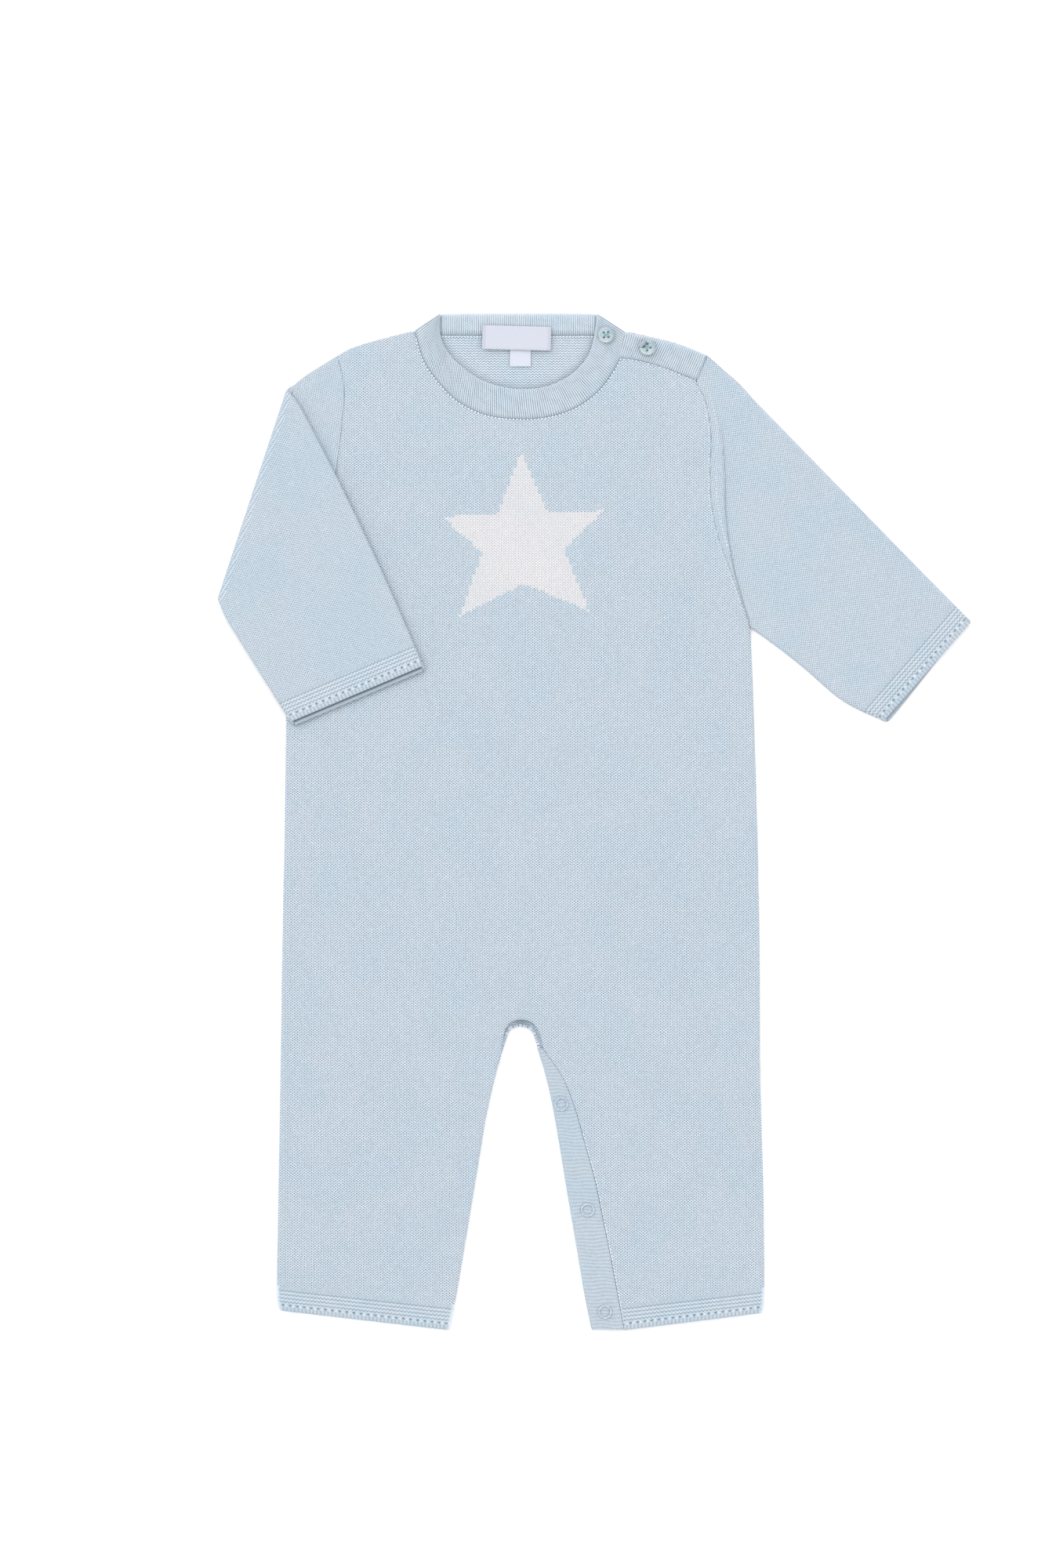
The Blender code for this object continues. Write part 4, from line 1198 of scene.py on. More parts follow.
@dataclass
class Panel:
    """A body panel of two halves that share the centre line down to the crotch."""

    name: str
    left: HalfPanel
    right: HalfPanel
    rows: BodyRows
    base: Callable[[Array], Array]
    detail: Callable[[Array], Array]
    upward: float
    face_shade: Callable[[Array], Array | float] = lambda plan: 0.0
    back_shade: Callable[[Array], Array | float] = lambda plan: 0.0

    def build(self) -> Piece:
        """Make the panel: both halves, their inner faces and the rims that close them.

        Returns:
            The panel.
        """
        shell = Shell()
        share = graded(1.0, FOLD_STEPS / PATCH_DEPTH, np.array((0.0,)), 42)
        centre_rows = len(share) - 1 + self.rows.above
        walls = [self._wall(half, share) for half in (self.left, self.right)]
        for layer in (0, 1):
            shared = (walls[0][layer][:centre_rows, -1] + walls[1][layer][:centre_rows, -1]) / 2
            shared[:, 0] = 0.0
            walls[0][layer][:centre_rows, -1] = walls[1][layer][:centre_rows, -1] = shared
        for outer, inner in walls:
            uv = outer[..., :2] / (WALE, COURSE)
            near = shell.grid(outer, uv, self.face_shade(outer))
            far = shell.grid(inner, uv, self.back_shade(inner))
            for row in (0, -1):
                shell.rim(near[row], far[row], uv[row])
            shell.rim(near[:, 0], far[:, 0], uv[:, 0])
            leg = slice(centre_rows - 1, None)
            shell.rim(near[leg, -1], far[leg, -1], uv[leg, -1])
        return shell.build(self.name, weld=2e-6)

    def _wall(self, half: HalfPanel, share: Array) -> tuple[Array, Array]:
        """The wall of one half.

        Args:
            half: the half.
            share: each upper row's share of the way down.
        Returns:
            Its face, and the other side of its cloth.
        """
        plan = np.vstack((half.upper(share)[:-1], half.lower(self.rows.y)))
        outer = np.dstack((plan, self.base(plan)))
        inner = outer - self.upward * CLOTH * normals_of(outer, False, half.middle // 2)
        outer[..., 2] += self.upward * self.detail(plan)
        return outer, inner


@dataclass
class Romper:
    """The romper's body: its cut edges, how its cloth lies, and its front and back.

    The front stands off the back by up to the fullness, most of it within the reach of its edges.
    """

    finishes: Finishes
    fullness_height: float = 0.8
    fullness_reach: float = 15.0
    groove_depth: float = 0.35

    def __post_init__(self) -> None:
        """Work out the edges that pieces share."""
        self.shoulder_left = smooth_curve(SHOULDER_LEFT, 40)
        self.shoulder_right = smooth_curve(SHOULDER_RIGHT, 40)
        self.armhole_left = smooth_curve(ARMHOLE_LEFT, 90)
        self.armhole_right = smooth_curve(ARMHOLE_RIGHT, 90)
        self.side_left = smooth_curve(SIDE_LEFT, 120)
        self.side_right = smooth_curve(SIDE_RIGHT, 120)
        self.band_seam = smooth_curve(np.array(NECKBAND_FRONT)[:, :2], 160)
        self.band_edge = smooth_curve(np.array(NECKBAND_FRONT)[:, 2:4], 120)
        self.placket_seam = smooth_curve(np.array(SHOULDER_PLACKET)[:, :2], 60)
        self.leg_seam = smooth_curve([(seam + SEAM_GAP, y) for seam, y, _, _ in LEG_PLACKET], 120)
        self.gap_right = smooth_curve([(x, CROTCH_Y - depth) for x, depth in LEG_GAP], 160)
        self.gap_left = self.gap_right * (-1, 1)
        self.crotch_left = smooth_curve(FRONT_CROTCH_LEFT, 30)
        self.crotch_right = smooth_curve(FRONT_CROTCH_RIGHT, 30)
        self.front_left_leg = self.gap_left[self.gap_left[:, 1] < -130.0]
        self.front = self._front_halves()
        self.back = self._back_halves()
        self.front_outline = np.vstack((
            self.front[0].top, self.front[1].top[::-1], self.front[1].outer,
            self.front[1].inner[::-1], self.front[0].inner, self.front[0].outer[::-1]))
        self.front_folds = (
            self.shoulder_left, self.side_right,
            np.vstack((self.crotch_left[::-1], self.crotch_right)), self.front_left_leg,
            self.side_left)
        self.back_folds = (
            self.shoulder_left, self.shoulder_right, self.side_left, self.side_right,
            self.gap_left, self.gap_right)

    def _neckline(self) -> tuple[Array, Array]:
        """The front's neckline under the band, from each end to the middle.

        Returns:
            Its left and right stretches.
        """
        seam = beside(self.band_seam, -SEAM_GAP)
        middle_y = float(np.interp(0.0, seam[40:120, 0], seam[40:120, 1]))
        middle = np.array(((0.0, middle_y),))
        left = np.vstack((seam[seam[:, 0] < -0.5], middle))
        right = seam[(seam[:, 0] > 0.5) & (seam[:, 1] < 247.5)]
        return left, np.vstack((right[::-1], middle))

    def _front_halves(self) -> tuple[HalfPanel, HalfPanel]:
        """The front's two halves.

        Returns:
            The left and the right half.
        """
        neck_left, neck_right = self._neckline()
        left = HalfPanel(
            top=cleaned(self.shoulder_left[:-1], neck_left[1:]),
            outer=cleaned(self.armhole_left, self.side_left),
            inner=cleaned(self.crotch_left, self.front_left_leg),
            hem_outer_y=HEM_CORNER_Y["left"], outer_steps=SIDE_STEPS, inner_steps=FOLD_STEPS)
        placket = beside(self.placket_seam, -SEAM_GAP)[::-1]
        armhole = self.armhole_right[self.armhole_right[:, 1] < placket[0, 1] - 0.5]
        right = HalfPanel(
            top=cleaned(placket, neck_right),
            outer=cleaned(placket[:1], armhole, self.side_right),
            inner=cleaned(self.crotch_right, self.leg_seam),
            hem_outer_y=HEM_CORNER_Y["right"], outer_steps=FOLD_STEPS, inner_steps=SEAM_STEPS)
        return left, right

    def _back_halves(self) -> tuple[HalfPanel, HalfPanel]:
        """The back's two halves, up to the seam of the back neckband.

        Returns:
            The left and the right half.
        """
        seam = smooth_curve([(row[0], row[1] - SEAM_GAP) for row in NECKBAND_BACK], 120)
        middle = np.array(((0.0, float(np.interp(0.0, seam[:, 0], seam[:, 1]))),))
        left = HalfPanel(
            top=cleaned(self.shoulder_left[:-1], seam[seam[:, 0] < -0.5], middle),
            outer=cleaned(self.armhole_left, self.side_left),
            inner=cleaned(self.gap_left), hem_outer_y=HEM_CORNER_Y["left"],
            outer_steps=FOLD_STEPS, inner_steps=FOLD_STEPS, middle=24)
        right = HalfPanel(
            top=cleaned(self.shoulder_right[:-1], seam[seam[:, 0] > 0.5][::-1], middle),
            outer=cleaned(self.armhole_right, self.side_right),
            inner=cleaned(self.gap_right), hem_outer_y=HEM_CORNER_Y["right"],
            outer_steps=FOLD_STEPS, inner_steps=FOLD_STEPS, middle=24)
        return left, right

    def fullness(self, plan: Array) -> Array:
        """How far the front stands off the back, rising away from the front's own edges.

        Args:
            plan: points of the plan.
        Returns:
            The distances.
        """
        depth = distance_to(plan, np.vstack((self.front_outline, self.front_outline[:1])))
        depth = np.where(inside(plan, self.front_outline), depth, 0.0)
        return self.fullness_height * (1.0 - np.exp(-depth / self.fullness_reach))

    def front_base(self, plan: Array) -> Array:
        """Height of the front's face: fullness and creases, rolled down at its folded edges.

        Args:
            plan: points of the plan.
        Returns:
            The heights.
        """
        edge = np.min([distance_to(plan, line) for line in self.front_folds], axis=0)
        ease = eased(edge, 0.0, 9.0)
        right = plan[..., 0] > 60.0
        edge = np.where(right & (plan[..., 1] > 106.0), np.maximum(edge, 4.0 * right), edge)
        creases = sum(crease.over(plan) for crease in FRONT_CREASES) * eased(edge, -2.0, 4.0)
        waves = valley_lift(plan) * right + undulation(plan) * ease + creases
        return LAYERS + self.fullness(plan) + waves - roll_drop(edge)

    def crotch_shade(self, plan: Array) -> Array:
        """The dark of the back's edge where the front stands over it at the crotch.

        Args:
            plan: points of the plan.
        Returns:
            The hollow values.
        """
        edge = np.vstack((self.crotch_left[::-1], self.crotch_right))[8:-8]
        near = 1.0 - eased(distance_to(plan, edge), 1.5, 4.0)
        return near * (0.36 + 0.44 * bell(plan[..., 0] - 0.8, 5.0))

    def inside_shade(self, plan: Array) -> Array:
        """The dark inside of the back under the front's edges, at the crotch and in the neck."""
        neck = 0.35 * (1.0 - eased(distance_to(plan, self.band_edge), 0.5, 4.0))
        return np.maximum(self.crotch_shade(plan), neck)

    def seam_shade(self, plan: Array) -> Array:
        """The shade in the seams' grooves, where loops stand over them.

        Args:
            plan: points of the plan.
        Returns:
            The hollow values.
        """
        deep = bell(distance_to(plan, self.band_seam), 0.9)
        across = bell(distance_to(plan, self.placket_seam), 0.8)
        dashes = 0.5 + 0.5 * np.cos(2 * np.pi * plan[..., 0] / 2.2)
        upright = sum(bell(distance_to(plan, line), 0.7) for line in (
            self.armhole_left, self.armhole_right))
        upright += 0.5 * bell(distance_to(plan, self.leg_seam), 0.7) * eased(-plan[..., 1], 135.0, 175.0)
        dots = 0.5 + 0.5 * np.cos(2 * np.pi * plan[..., 1] / 1.9)
        return np.clip(0.66 * deep + 0.7 * across * dashes + 0.7 * upright * dots, 0.0, 0.95)

    def front_detail(self, plan: Array) -> Array:
        """Grooves of the seams: round the neck, armholes and plackets, and down the left side.

        Args:
            plan: points of the plan.
        Returns:
            How far the face stands above its base.
        """
        seams = (self.armhole_left, self.armhole_right, self.band_seam, self.placket_seam)
        groove = sum(bell(distance_to(plan, line), 0.9) for line in seams)
        groove -= 0.6 * bell(distance_to(plan, self.leg_seam), 1.6)
        side = distance_to(plan, self.side_left)
        turned = eased(-plan[..., 1], -52.0, -30.0)
        rolled = 0.30 * bell(side - 5.0, 0.75) - 0.16 * bell(side - 3.2, 1.6)
        return -self.groove_depth * np.clip(groove, -1.0, 1.0) - rolled * turned

    def front_panel(self) -> None:
        """The front, with the star on its chest, and its two hem bands."""
        last_y = HEM_INNER_Y + BAND_DEPTH
        panel = Panel(
            "front", self.front[0], self.front[1], BodyRows(FRONT_CROTCH_Y, last_y),
            self.front_base, self.front_detail, 1.0, face_shade=self.seam_shade).build()
        finish = self.finishes.knit("front_knit", Stitch.STOCKING, BLUE_YARN, star=StarMotif())
        dress(panel, finish, "knit", "front_panel")
        bands = [self.hem_band(name, half) for name, half in (
            ("front_hem_left", self.front[0]), ("front_hem_right", self.front[1]))]
        for band in bands:
            dress(band, self.finishes.band, "knit")

    def hem_band(self, name: str, half: HalfPanel) -> Piece:
        """A seed-stitch band at a front hem, with its lattice, eyelets and scalloped edge.

        Args:
            name: the piece's name.
            half: the half of the front that it ends.
        Returns:
            The band.
        """
        along = BAND_ROWS
        fine = HalfPanel(half.top, half.outer, half.inner, half.hem_outer_y,
                         FOLD_STEPS[:5], FOLD_STEPS[:5])
        plan = fine.lower(HEM_INNER_Y + along, middle=240)
        depth = np.broadcast_to(along[:, None], plan.shape[:2])
        across = plan[..., 0]
        outer = np.dstack((plan, self.front_base(plan)))
        inner = outer - CLOTH * normals_of(outer, False, plan.shape[1] // 2)
        relief, hollow_shade = seed_relief(across, depth)
        edge = np.min([distance_to(plan, line) for line in self.front_folds], axis=0)
        calm = eased(edge, 0.0, 2.0)
        turn_in = 0.5 * (1.0 - eased(depth, 0.0, 0.9)) ** 2
        outer[..., 2] += relief * calm - turn_in + 0.12 * bell(depth - 1.8, 1.4)
        outer[..., 1] -= scallop(across, depth)
        # The face carries the seed stitch's painted shade, calmed near the folds; the inner face an even
        # painted shade of 0.5.
        return walled(name, outer, inner, plan / SEED, hollow_shade * calm, 0.5)

    def back_panel(self) -> None:
        """The back, flat on the surface. Its purl side shows in the neck and under the crotch."""
        def base(plan: Array) -> Array:
            """Height of the underside: flat, and rolled up at its folded edges."""
            return roll_drop(np.min([distance_to(plan, line) for line in self.back_folds], axis=0))

        panel = Panel(
            "back", self.back[0], self.back[1], BodyRows(CROTCH_Y, HEM_INNER_Y), base,
            lambda plan: np.zeros(plan.shape[:-1]), -1.0,
            face_shade=self.crotch_shade, back_shade=self.inside_shade)
        piece = panel.build()
        dress(piece, self.finishes.knit("back_knit", Stitch.PURL, PURL_YARN), "knit", "back_panel")


@dataclass
class Sleeve:
    """A flattened sleeve: a tube of cloth between four edges in the plan.

    At a share along it and a share across it, a point is the blend of the armhole and the cuff,
    moved to fit the upper and under edges. A ring goes up the under edge's roll, back over the top
    layer, round the upper edge's roll and out again under the bottom layer.
    """

    armhole: Array
    cuff: Array
    top_edge: Array
    under_edge: Array
    wale_axis: Array
    roll_columns: int = 7

    def plan(self, share: Array, across: Array) -> Array:
        """The plan of points at shares along the sleeve and across it.

        Args:
            share: shares along it, from the armhole to the cuff.
            across: shares across it, from its upper edge to its under edge.
        Returns:
            The points.
        """
        s, t = share[..., None], across[..., None]
        arm, cuff = at_shares(self.armhole, across), at_shares(self.cuff, across)
        top = at_shares(self.top_edge, share) - (1 - s) * self.armhole[0] - s * self.cuff[0]
        under = at_shares(self.under_edge, share) - (1 - s) * self.armhole[-1] - s * self.cuff[-1]
        return (1 - s) * arm + s * cuff + top * (1 - t) + under * t

    def band_start(self, across: Array) -> Array:
        """The share at which the cuff band starts, so that it is equally deep all the way round.

        Args:
            across: shares across the sleeve.
        Returns:
            The shares along it.
        """
        heading = self.cuff[-1] - self.cuff[0]
        heading = heading / np.linalg.norm(heading)
        offset = self.plan(np.full(across.shape, 0.9), across) - self.cuff[0]
        return 1.0 - 0.1 * BAND_DEPTH / np.abs(offset @ (-heading[1], heading[0]))

    def cloth_share(self, progress: Array, across: Array) -> Array:
        """Shares of the plain cloth, from the armhole (0) to the start of the band (1)."""
        return progress * self.band_start(across)

    def band_share(self, depth: Array, across: Array) -> Array:
        """Shares of the band, by depth from the cuff's edge."""
        return 1.0 - (1.0 - self.band_start(across)) * depth / BAND_DEPTH

    def rings(self, rows: Array, share_of: Callable, columns: int) -> tuple[Array, ...]:
        """Rings round the sleeve.

        Args:
            rows: each ring's place, as share_of takes it.
            share_of: gives the shares along the sleeve from a ring's place and shares across.
            columns: how many even steps each layer has.
        Returns:
            The points, the UV in stitches with one more column, each column's layer (1 above, 0
            below and between on the rolls) and the shares along the sleeve.
        """
        radius = LAYERS / 2
        rows = rows[:, None]
        ends_across = np.tile((0.0, 1.0), (len(rows), 1))
        ends = self.plan(share_of(rows, ends_across), ends_across)
        width = np.linalg.norm(ends[:, 1] - ends[:, 0], axis=1)[:, None]
        angle = np.linspace(0.0, np.pi / 2, self.roll_columns + 1)[1:]
        flat = np.linspace(0.0, 1.0, columns + 1)[1:-1]
        out, level = radius * np.sin(angle), np.cos(angle)
        top_across = np.hstack((
            width - radius + out[::-1], width - radius + 0 * width,
            width - radius - (width - 2 * radius) * flat, radius + 0 * width,
            radius - out + 0 * width))
        top_height = np.concatenate((
            radius * (1 + level[::-1]), np.full(len(flat) + 2, LAYERS), radius * (1 + level)))
        top_extra = np.concatenate((
            radius * (np.pi / 2 - 1) + radius * (angle - np.sin(angle))[::-1],
            np.full(len(flat) + 2, radius * (np.pi / 2 - 1)),
            radius * (np.pi / 2 - 1) - radius * (angle - np.sin(angle))))
        back = slice(-2, 0, -1)
        across = np.hstack((top_across, top_across[:, back]))
        height = np.concatenate((top_height, LAYERS - top_height[back]))
        side = np.concatenate((np.ones(len(top_height)), -np.ones(len(top_height) - 2)))
        extra = np.concatenate((top_extra, top_extra[back]))
        share = share_of(rows, across / width)
        plan = self.plan(share, across / width)
        points = np.dstack((plan, np.broadcast_to(height, plan.shape[:2])))
        sideways = np.array((-self.wale_axis[1], self.wale_axis[0]))
        reach = np.abs((plan - self.top_edge[0]) @ sideways) + extra
        uv = np.dstack((side * reach / WALE, (plan @ self.wale_axis) / COURSE))
        last = uv[:, :1] * (-1, 1)
        return points, np.hstack((uv, last)), height / LAYERS, share

    def middle_column(self, columns: int) -> int:
        """A column in the middle of the top layer."""
        return self.roll_columns + columns // 2

    def wall(self, rows: Array, share_of: Callable, columns: int, lying: Callable,
             seed: bool) -> tuple[Array, ...]:
        """The outer and inner points of the sleeve's wall where it lies.

        Args:
            rows: each ring's place, as share_of takes it.
            share_of: gives the shares along the sleeve.
            columns: how many even steps each layer has.
            lying: moves points of the flat sleeve to where they lie.
            seed: whether the rings are a seed-stitch band.
        Returns:
            The outer and inner points, their UV, the hollow values and the layer, 1 at the top.
        """
        points, uv, layer, share = self.rings(rows, share_of, columns)
        normals = normals_of(points, True, self.middle_column(columns))
        inner = lying(points - CLOTH * normals, layer, share)
        if not seed:
            return lying(points, layer, share), inner, uv, 0.0, layer
        depth = np.broadcast_to(rows[:, None], points.shape[:2])
        relief, hollow_shade = seed_relief(uv[:, :-1, 0] * WALE, depth)
        edge = -0.45 * (1.0 - eased(depth, 0.0, 0.9)) ** 2 + 0.12 * bell(depth - 1.8, 1.4)
        raised = points + (relief + edge)[..., None] * normals
        raised[..., 2] = np.maximum(raised[..., 2], 0.0)
        return lying(raised, layer, share), inner, uv * (WALE / SEED, COURSE / SEED), hollow_shade, layer


@dataclass
class Sleeves:
    """Both sleeves and their cuff bands, sewn to the romper's armholes."""

    romper: Romper
    finishes: Finishes
    straight_creases: tuple[Crease, ...] = STRAIGHT_CREASES
    folded_creases: tuple[Crease, ...] = FOLDED_CREASES

    def _cuff(self, name: str, sleeve: Sleeve, lying: Callable, shade: Callable) -> Piece:
        """A sleeve's seed-stitch band.

        Args:
            name: the piece's name.
            sleeve: the sleeve that it ends.
            lying: moves points of the flat sleeve to where they lie.
            shade: gives the shade on the layer below from each column's layer.
        Returns:
            The band.
        """
        outer, inner, uv, hollow_shade, layer = sleeve.wall(
            BAND_ROWS, sleeve.band_share, BAND_COLUMNS, lying, True)
        hollow_shade = np.clip(hollow_shade + shade(layer), 0.0, 1.0)
        cuff = walled(name, outer, inner, uv, hollow_shade, CUFF_INSIDE_SHADE, wrap=True)
        dress(cuff, self.finishes.band, "knit")
        return cuff

    def straight(self) -> None:
        """The straight sleeve, with a soft fold along its armhole."""
        shift = np.array((SEAM_GAP, 0.0))
        top = smooth_curve(SLEEVE_TOP_EDGE, 120) + shift
        under = smooth_curve(SLEEVE_UNDER_EDGE, 80) + shift
        axis = (top[-1] - top[30]) / np.linalg.norm(top[-1] - top[30])
        sleeve = Sleeve(
            armhole=self.romper.armhole_right + shift, cuff=np.linspace(top[-1], under[-1], 30),
            top_edge=top, under_edge=under, wale_axis=axis)
        heading = (under[-1] - top[-1]) / np.linalg.norm(under[-1] - top[-1])

        def lying(points: Array, layer: Array, share: Array) -> Array:
            """The rings with their top layer lifted by the fold and the creases.

            Args:
                points: points of the flat sleeve.
                layer: each column's layer, 1 above and 0 below.
                share: the points' shares along the sleeve.
            Returns:
                The points where they lie.
            """
            plan = points[..., :2]
            waves = sum(crease.over(plan) for crease in self.straight_creases) + 1.2 * undulation(plan)
            settle = eased(share, 0.0, 0.12)
            calm = 1.0 - 0.75 * eased(share, 0.86, 1.0)
            moved = points.copy()
            down = ((plan - top[-1]) @ heading) / np.linalg.norm(under[-1] - top[-1])
            slip = 1.9 * eased(down, 0.25, 1.0) * eased(share, 0.3, 1.0) * (1.0 - layer)
            moved[..., :2] += slip[..., None] * axis
            sag = 0.8 * eased(down, 0.9, 1.0) * eased(share, 0.2, 0.5) * (1.0 - layer)
            moved[..., :2] += sag[..., None] * heading
            lift = valley_lift(plan) + (waves + 0.25) * settle * calm
            moved[..., 2] += lift * eased(layer, 0.45, 1.0)
            return moved

        rows = graded(1.0, SEAM_STEPS / 190.0, np.array((0.0,)), 120)
        outer, inner, uv, *_ = sleeve.wall(rows, sleeve.cloth_share, CLOTH_COLUMNS, lying, False)
        groove = self.romper.groove_depth * bell(distance_to(outer, self.romper.armhole_right), 1.0)
        outer[..., 2] -= groove * eased(outer[..., 2], LAYERS / 2, LAYERS)
        shade = valley_shade(outer) * (outer[..., 2] > LAYERS / 2)
        piece = walled("sleeve_straight_cloth", outer, inner, uv, shade, wrap=True)
        dress(piece, self.finishes.plain, "knit", "sleeve_straight")
        cuff = self._cuff("cuff_straight", sleeve, lying, lambda layer: 0.35 * eased(1.0 - layer, 0.6, 0.9))

    def folded(self) -> None:
        """The turned-back sleeve: flat outwards, then bent over its slanted fold line."""
        fold = FoldLine()
        armhole = beside(self.romper.armhole_left, -SEAM_GAP)
        cuff_top, cuff_under = fold.flat_place(CUFF_TOP), fold.flat_place(CUFF_UNDER)
        axis = cuff_top - fold.place(0.0, 0.0)
        sleeve = TurnedSleeve(
            armhole=armhole, cuff=np.linspace(cuff_top, cuff_under, 30),
            top_edge=np.array((armhole[0], cuff_top)), under_edge=np.array((armhole[-1], cuff_under)),
            wale_axis=axis / np.linalg.norm(axis), fold=fold)

        def lying(points: Array, layer: Array, share: Array) -> Array:
            """The rings after the fold, with the turned part resting on the chest.

            Args:
                points: points of the flat sleeve.
                layer: each column's layer, 1 above and 0 below.
                share: the points' shares along the sleeve.
            Returns:
                The points where they lie.
            """
            slip = sleeve.slip * np.clip(sleeve.turned_share(share), 0.0, 1.0) * layer
            flat = points.copy()
            flat[..., :2] += slip[..., None] * sleeve.wale_axis
            placed, turned = fold.turned(flat.reshape(-1, 3))
            placed, turned = placed.reshape(points.shape), turned.reshape(points.shape[:2])
            rest = self.romper.fullness(placed)
            ease = eased(sleeve.turned_share(share), 0.0, 0.2)
            above = eased(1.0 - layer, 0.45, 1.0) * ease
            waves = sum(crease.over(placed) for crease in self.folded_creases)
            waves = waves + undulation(placed) + 0.2
            placed[..., 2] += np.where(turned, rest, 0.0) + above * waves
            return placed

        outer, inner, uv, *_ = sleeve.wall(
            sleeve.rows(), sleeve.cloth_share, CLOTH_COLUMNS, lying, False)
        groove = self.romper.groove_depth * bell(distance_to(outer, self.romper.armhole_left), 1.0)
        outer[..., 2] -= groove * eased(outer[..., 2], LAYERS / 2, LAYERS) * (
            1.0 - eased(outer[..., 2], LAYERS + 1.0, LAYERS + 1.5))
        piece = walled("sleeve_folded_cloth", outer, inner, uv, wrap=True)
        dress(piece, self.finishes.plain, "knit", "sleeve_folded")
        cuff = self._cuff("cuff_folded", sleeve, lying, lambda layer: 0.4 * eased(layer, 0.6, 0.9))


@dataclass
class FoldLine:
    """The line a sleeve is turned back about, and the plan's axes along and across it."""

    top: tuple[float, float] = (-123.5, 237.2)
    under: tuple[float, float] = (-162.4, 119.0)
    clearance: float = 0.6

    def __post_init__(self) -> None:
        """Work the axes out from where the fold's ends lie."""
        self.axis_height = LAYERS + self.clearance / 2
        self.turn_length = math.pi * (self.axis_height - LAYERS / 2)
        top, under = np.array(self.top), np.array(self.under)
        self.length = float(np.linalg.norm(under - top))
        self.along = (under - top) / self.length
        self.outward = np.array((self.along[1], -self.along[0]))
        self.start = top - self.outward * self.axis_height

    def place(self, along: Array | float, outward: Array | float) -> Array:
        """A plan point from its distances along and outward from the fold."""
        return (self.start + np.asarray(along)[..., None] * self.along
                + np.asarray(outward)[..., None] * self.outward)

    def flat_place(self, lying: tuple[float, float]) -> Array:
        """Where a point that now lies on the chest was before the sleeve was turned back."""
        offset = np.asarray(lying) - self.start
        return self.place(offset @ self.along, self.turn_length - offset @ self.outward)

    def turned(self, points: Array) -> tuple[Array, Array]:
        """Bend the part beyond the fold through half a turn about the fold's axis.

        Within the turn a point goes round the axis at its own radius, and beyond it lies back.

        Args:
            points: points of the flat sleeve.
        Returns:
            The points' places, and which of them lie beyond the turn.
        """
        offset = points[:, :2] - self.start
        along, outward = offset @ self.along, offset @ self.outward
        radius = self.axis_height - points[:, 2]
        angle = np.clip(outward / self.turn_length, 0.0, 1.0) * math.pi
        beyond = np.clip(outward - self.turn_length, 0.0, None)
        lies_outward = np.where(outward < 0.0, outward, radius * np.sin(angle) - beyond)
        height = self.axis_height - radius * np.cos(angle)
        return np.column_stack((self.place(along, lies_outward), height)), beyond > 0.0


@dataclass
class TurnedSleeve(Sleeve):
    """A sleeve in three stretches: armhole to fold line, round the fold, and on to the cuff."""

    fold: FoldLine | None = None
    base_share: float = 0.10
    turn_share: float = 0.16
    slip: float = 2.6
    edge_bulge: float = 3.0

    def _slopes(self) -> tuple[float, float]:
        """How far the upper and under edges run along the fold for each millimetre outward.

        Returns:
            The upper edge's slope and the under edge's.
        """
        fold = self.fold
        top = self.cuff[0] - fold.place(0.0, 0.0)
        under = self.cuff[-1] - fold.place(fold.length, 0.0)
        return (float(top @ fold.along / (top @ fold.outward)),
                float(under @ fold.along / (under @ fold.outward)))

    def turned_share(self, share: Array) -> Array:
        """How far along its turned-back stretch each share lies."""
        return (share - self.turn_share) / (1.0 - self.turn_share)

    def plan(self, share: Array, across: Array) -> Array:
        """The flat plan of points at shares along the sleeve and across it.

        Args:
            share: shares along it.
            across: shares across it.
        Returns:
            The points.
        """
        fold = self.fold
        top_slope, under_slope = self._slopes()
        t = across[..., None]

        def line(outward: Array) -> Array:
            """Points of straight lines across the sleeve at distances outward from the fold."""
            top = fold.place(top_slope * outward, outward)
            return top * (1 - t) + fold.place(fold.length + under_slope * outward, outward) * t

        base = (share / self.base_share)[..., None]
        first = (1 - base) * at_shares(self.armhole, across) + base * line(0.0 * share)
        turn = (share - self.base_share) / (self.turn_share - self.base_share)
        second = line(np.clip(turn, 0.0, 1.0) * fold.turn_length)
        far = self.turned_share(share)[..., None]
        third = (1 - far) * line(fold.turn_length + 0.0 * share) + far * at_shares(self.cuff, across)
        third = third - fold.along * self.edge_bulge * np.sin(np.pi * np.clip(far, 0, 1)) * (1 - t) ** 2
        place = share[..., None]
        plan = np.where(place < self.base_share, first, np.where(place < self.turn_share, second, third))
        near = bell((plan - fold.start) @ fold.outward - fold.turn_length / 2, 4.6)
        rounded = 2.6 * near * (1.0 - eased(across, 0.0, 0.12)) - 2.2 * near * eased(across, 0.90, 1.0)
        return plan + rounded[..., None] * fold.along

    def cloth_share(self, progress: Array, across: Array) -> Array:
        """Shares of the plain cloth: even to the turn's end, then drawn in to the band's start.

        Args:
            progress: how far along the cloth, from 0 to 1.
            across: shares across the sleeve.
        Returns:
            The shares along the sleeve.
        """
        beyond = self.turned_share(progress)
        drawn_in = self.turn_share + beyond * (self.band_start(across) - self.turn_share)
        return np.where(progress <= self.turn_share, progress, drawn_in)

    def rows(self) -> Array:
        """Places of its rings: even on the base, close round the turn and even to the band.

        Returns:
            The places.
        """
        base = np.concatenate(((0.0, 0.004, 0.010), np.linspace(0.018, self.base_share, 8)))
        turn = np.linspace(self.base_share, self.turn_share, 17)[1:]
        far = np.linspace(self.turn_share, 1.0, 66)[1:]
        return np.concatenate((base, turn, far))


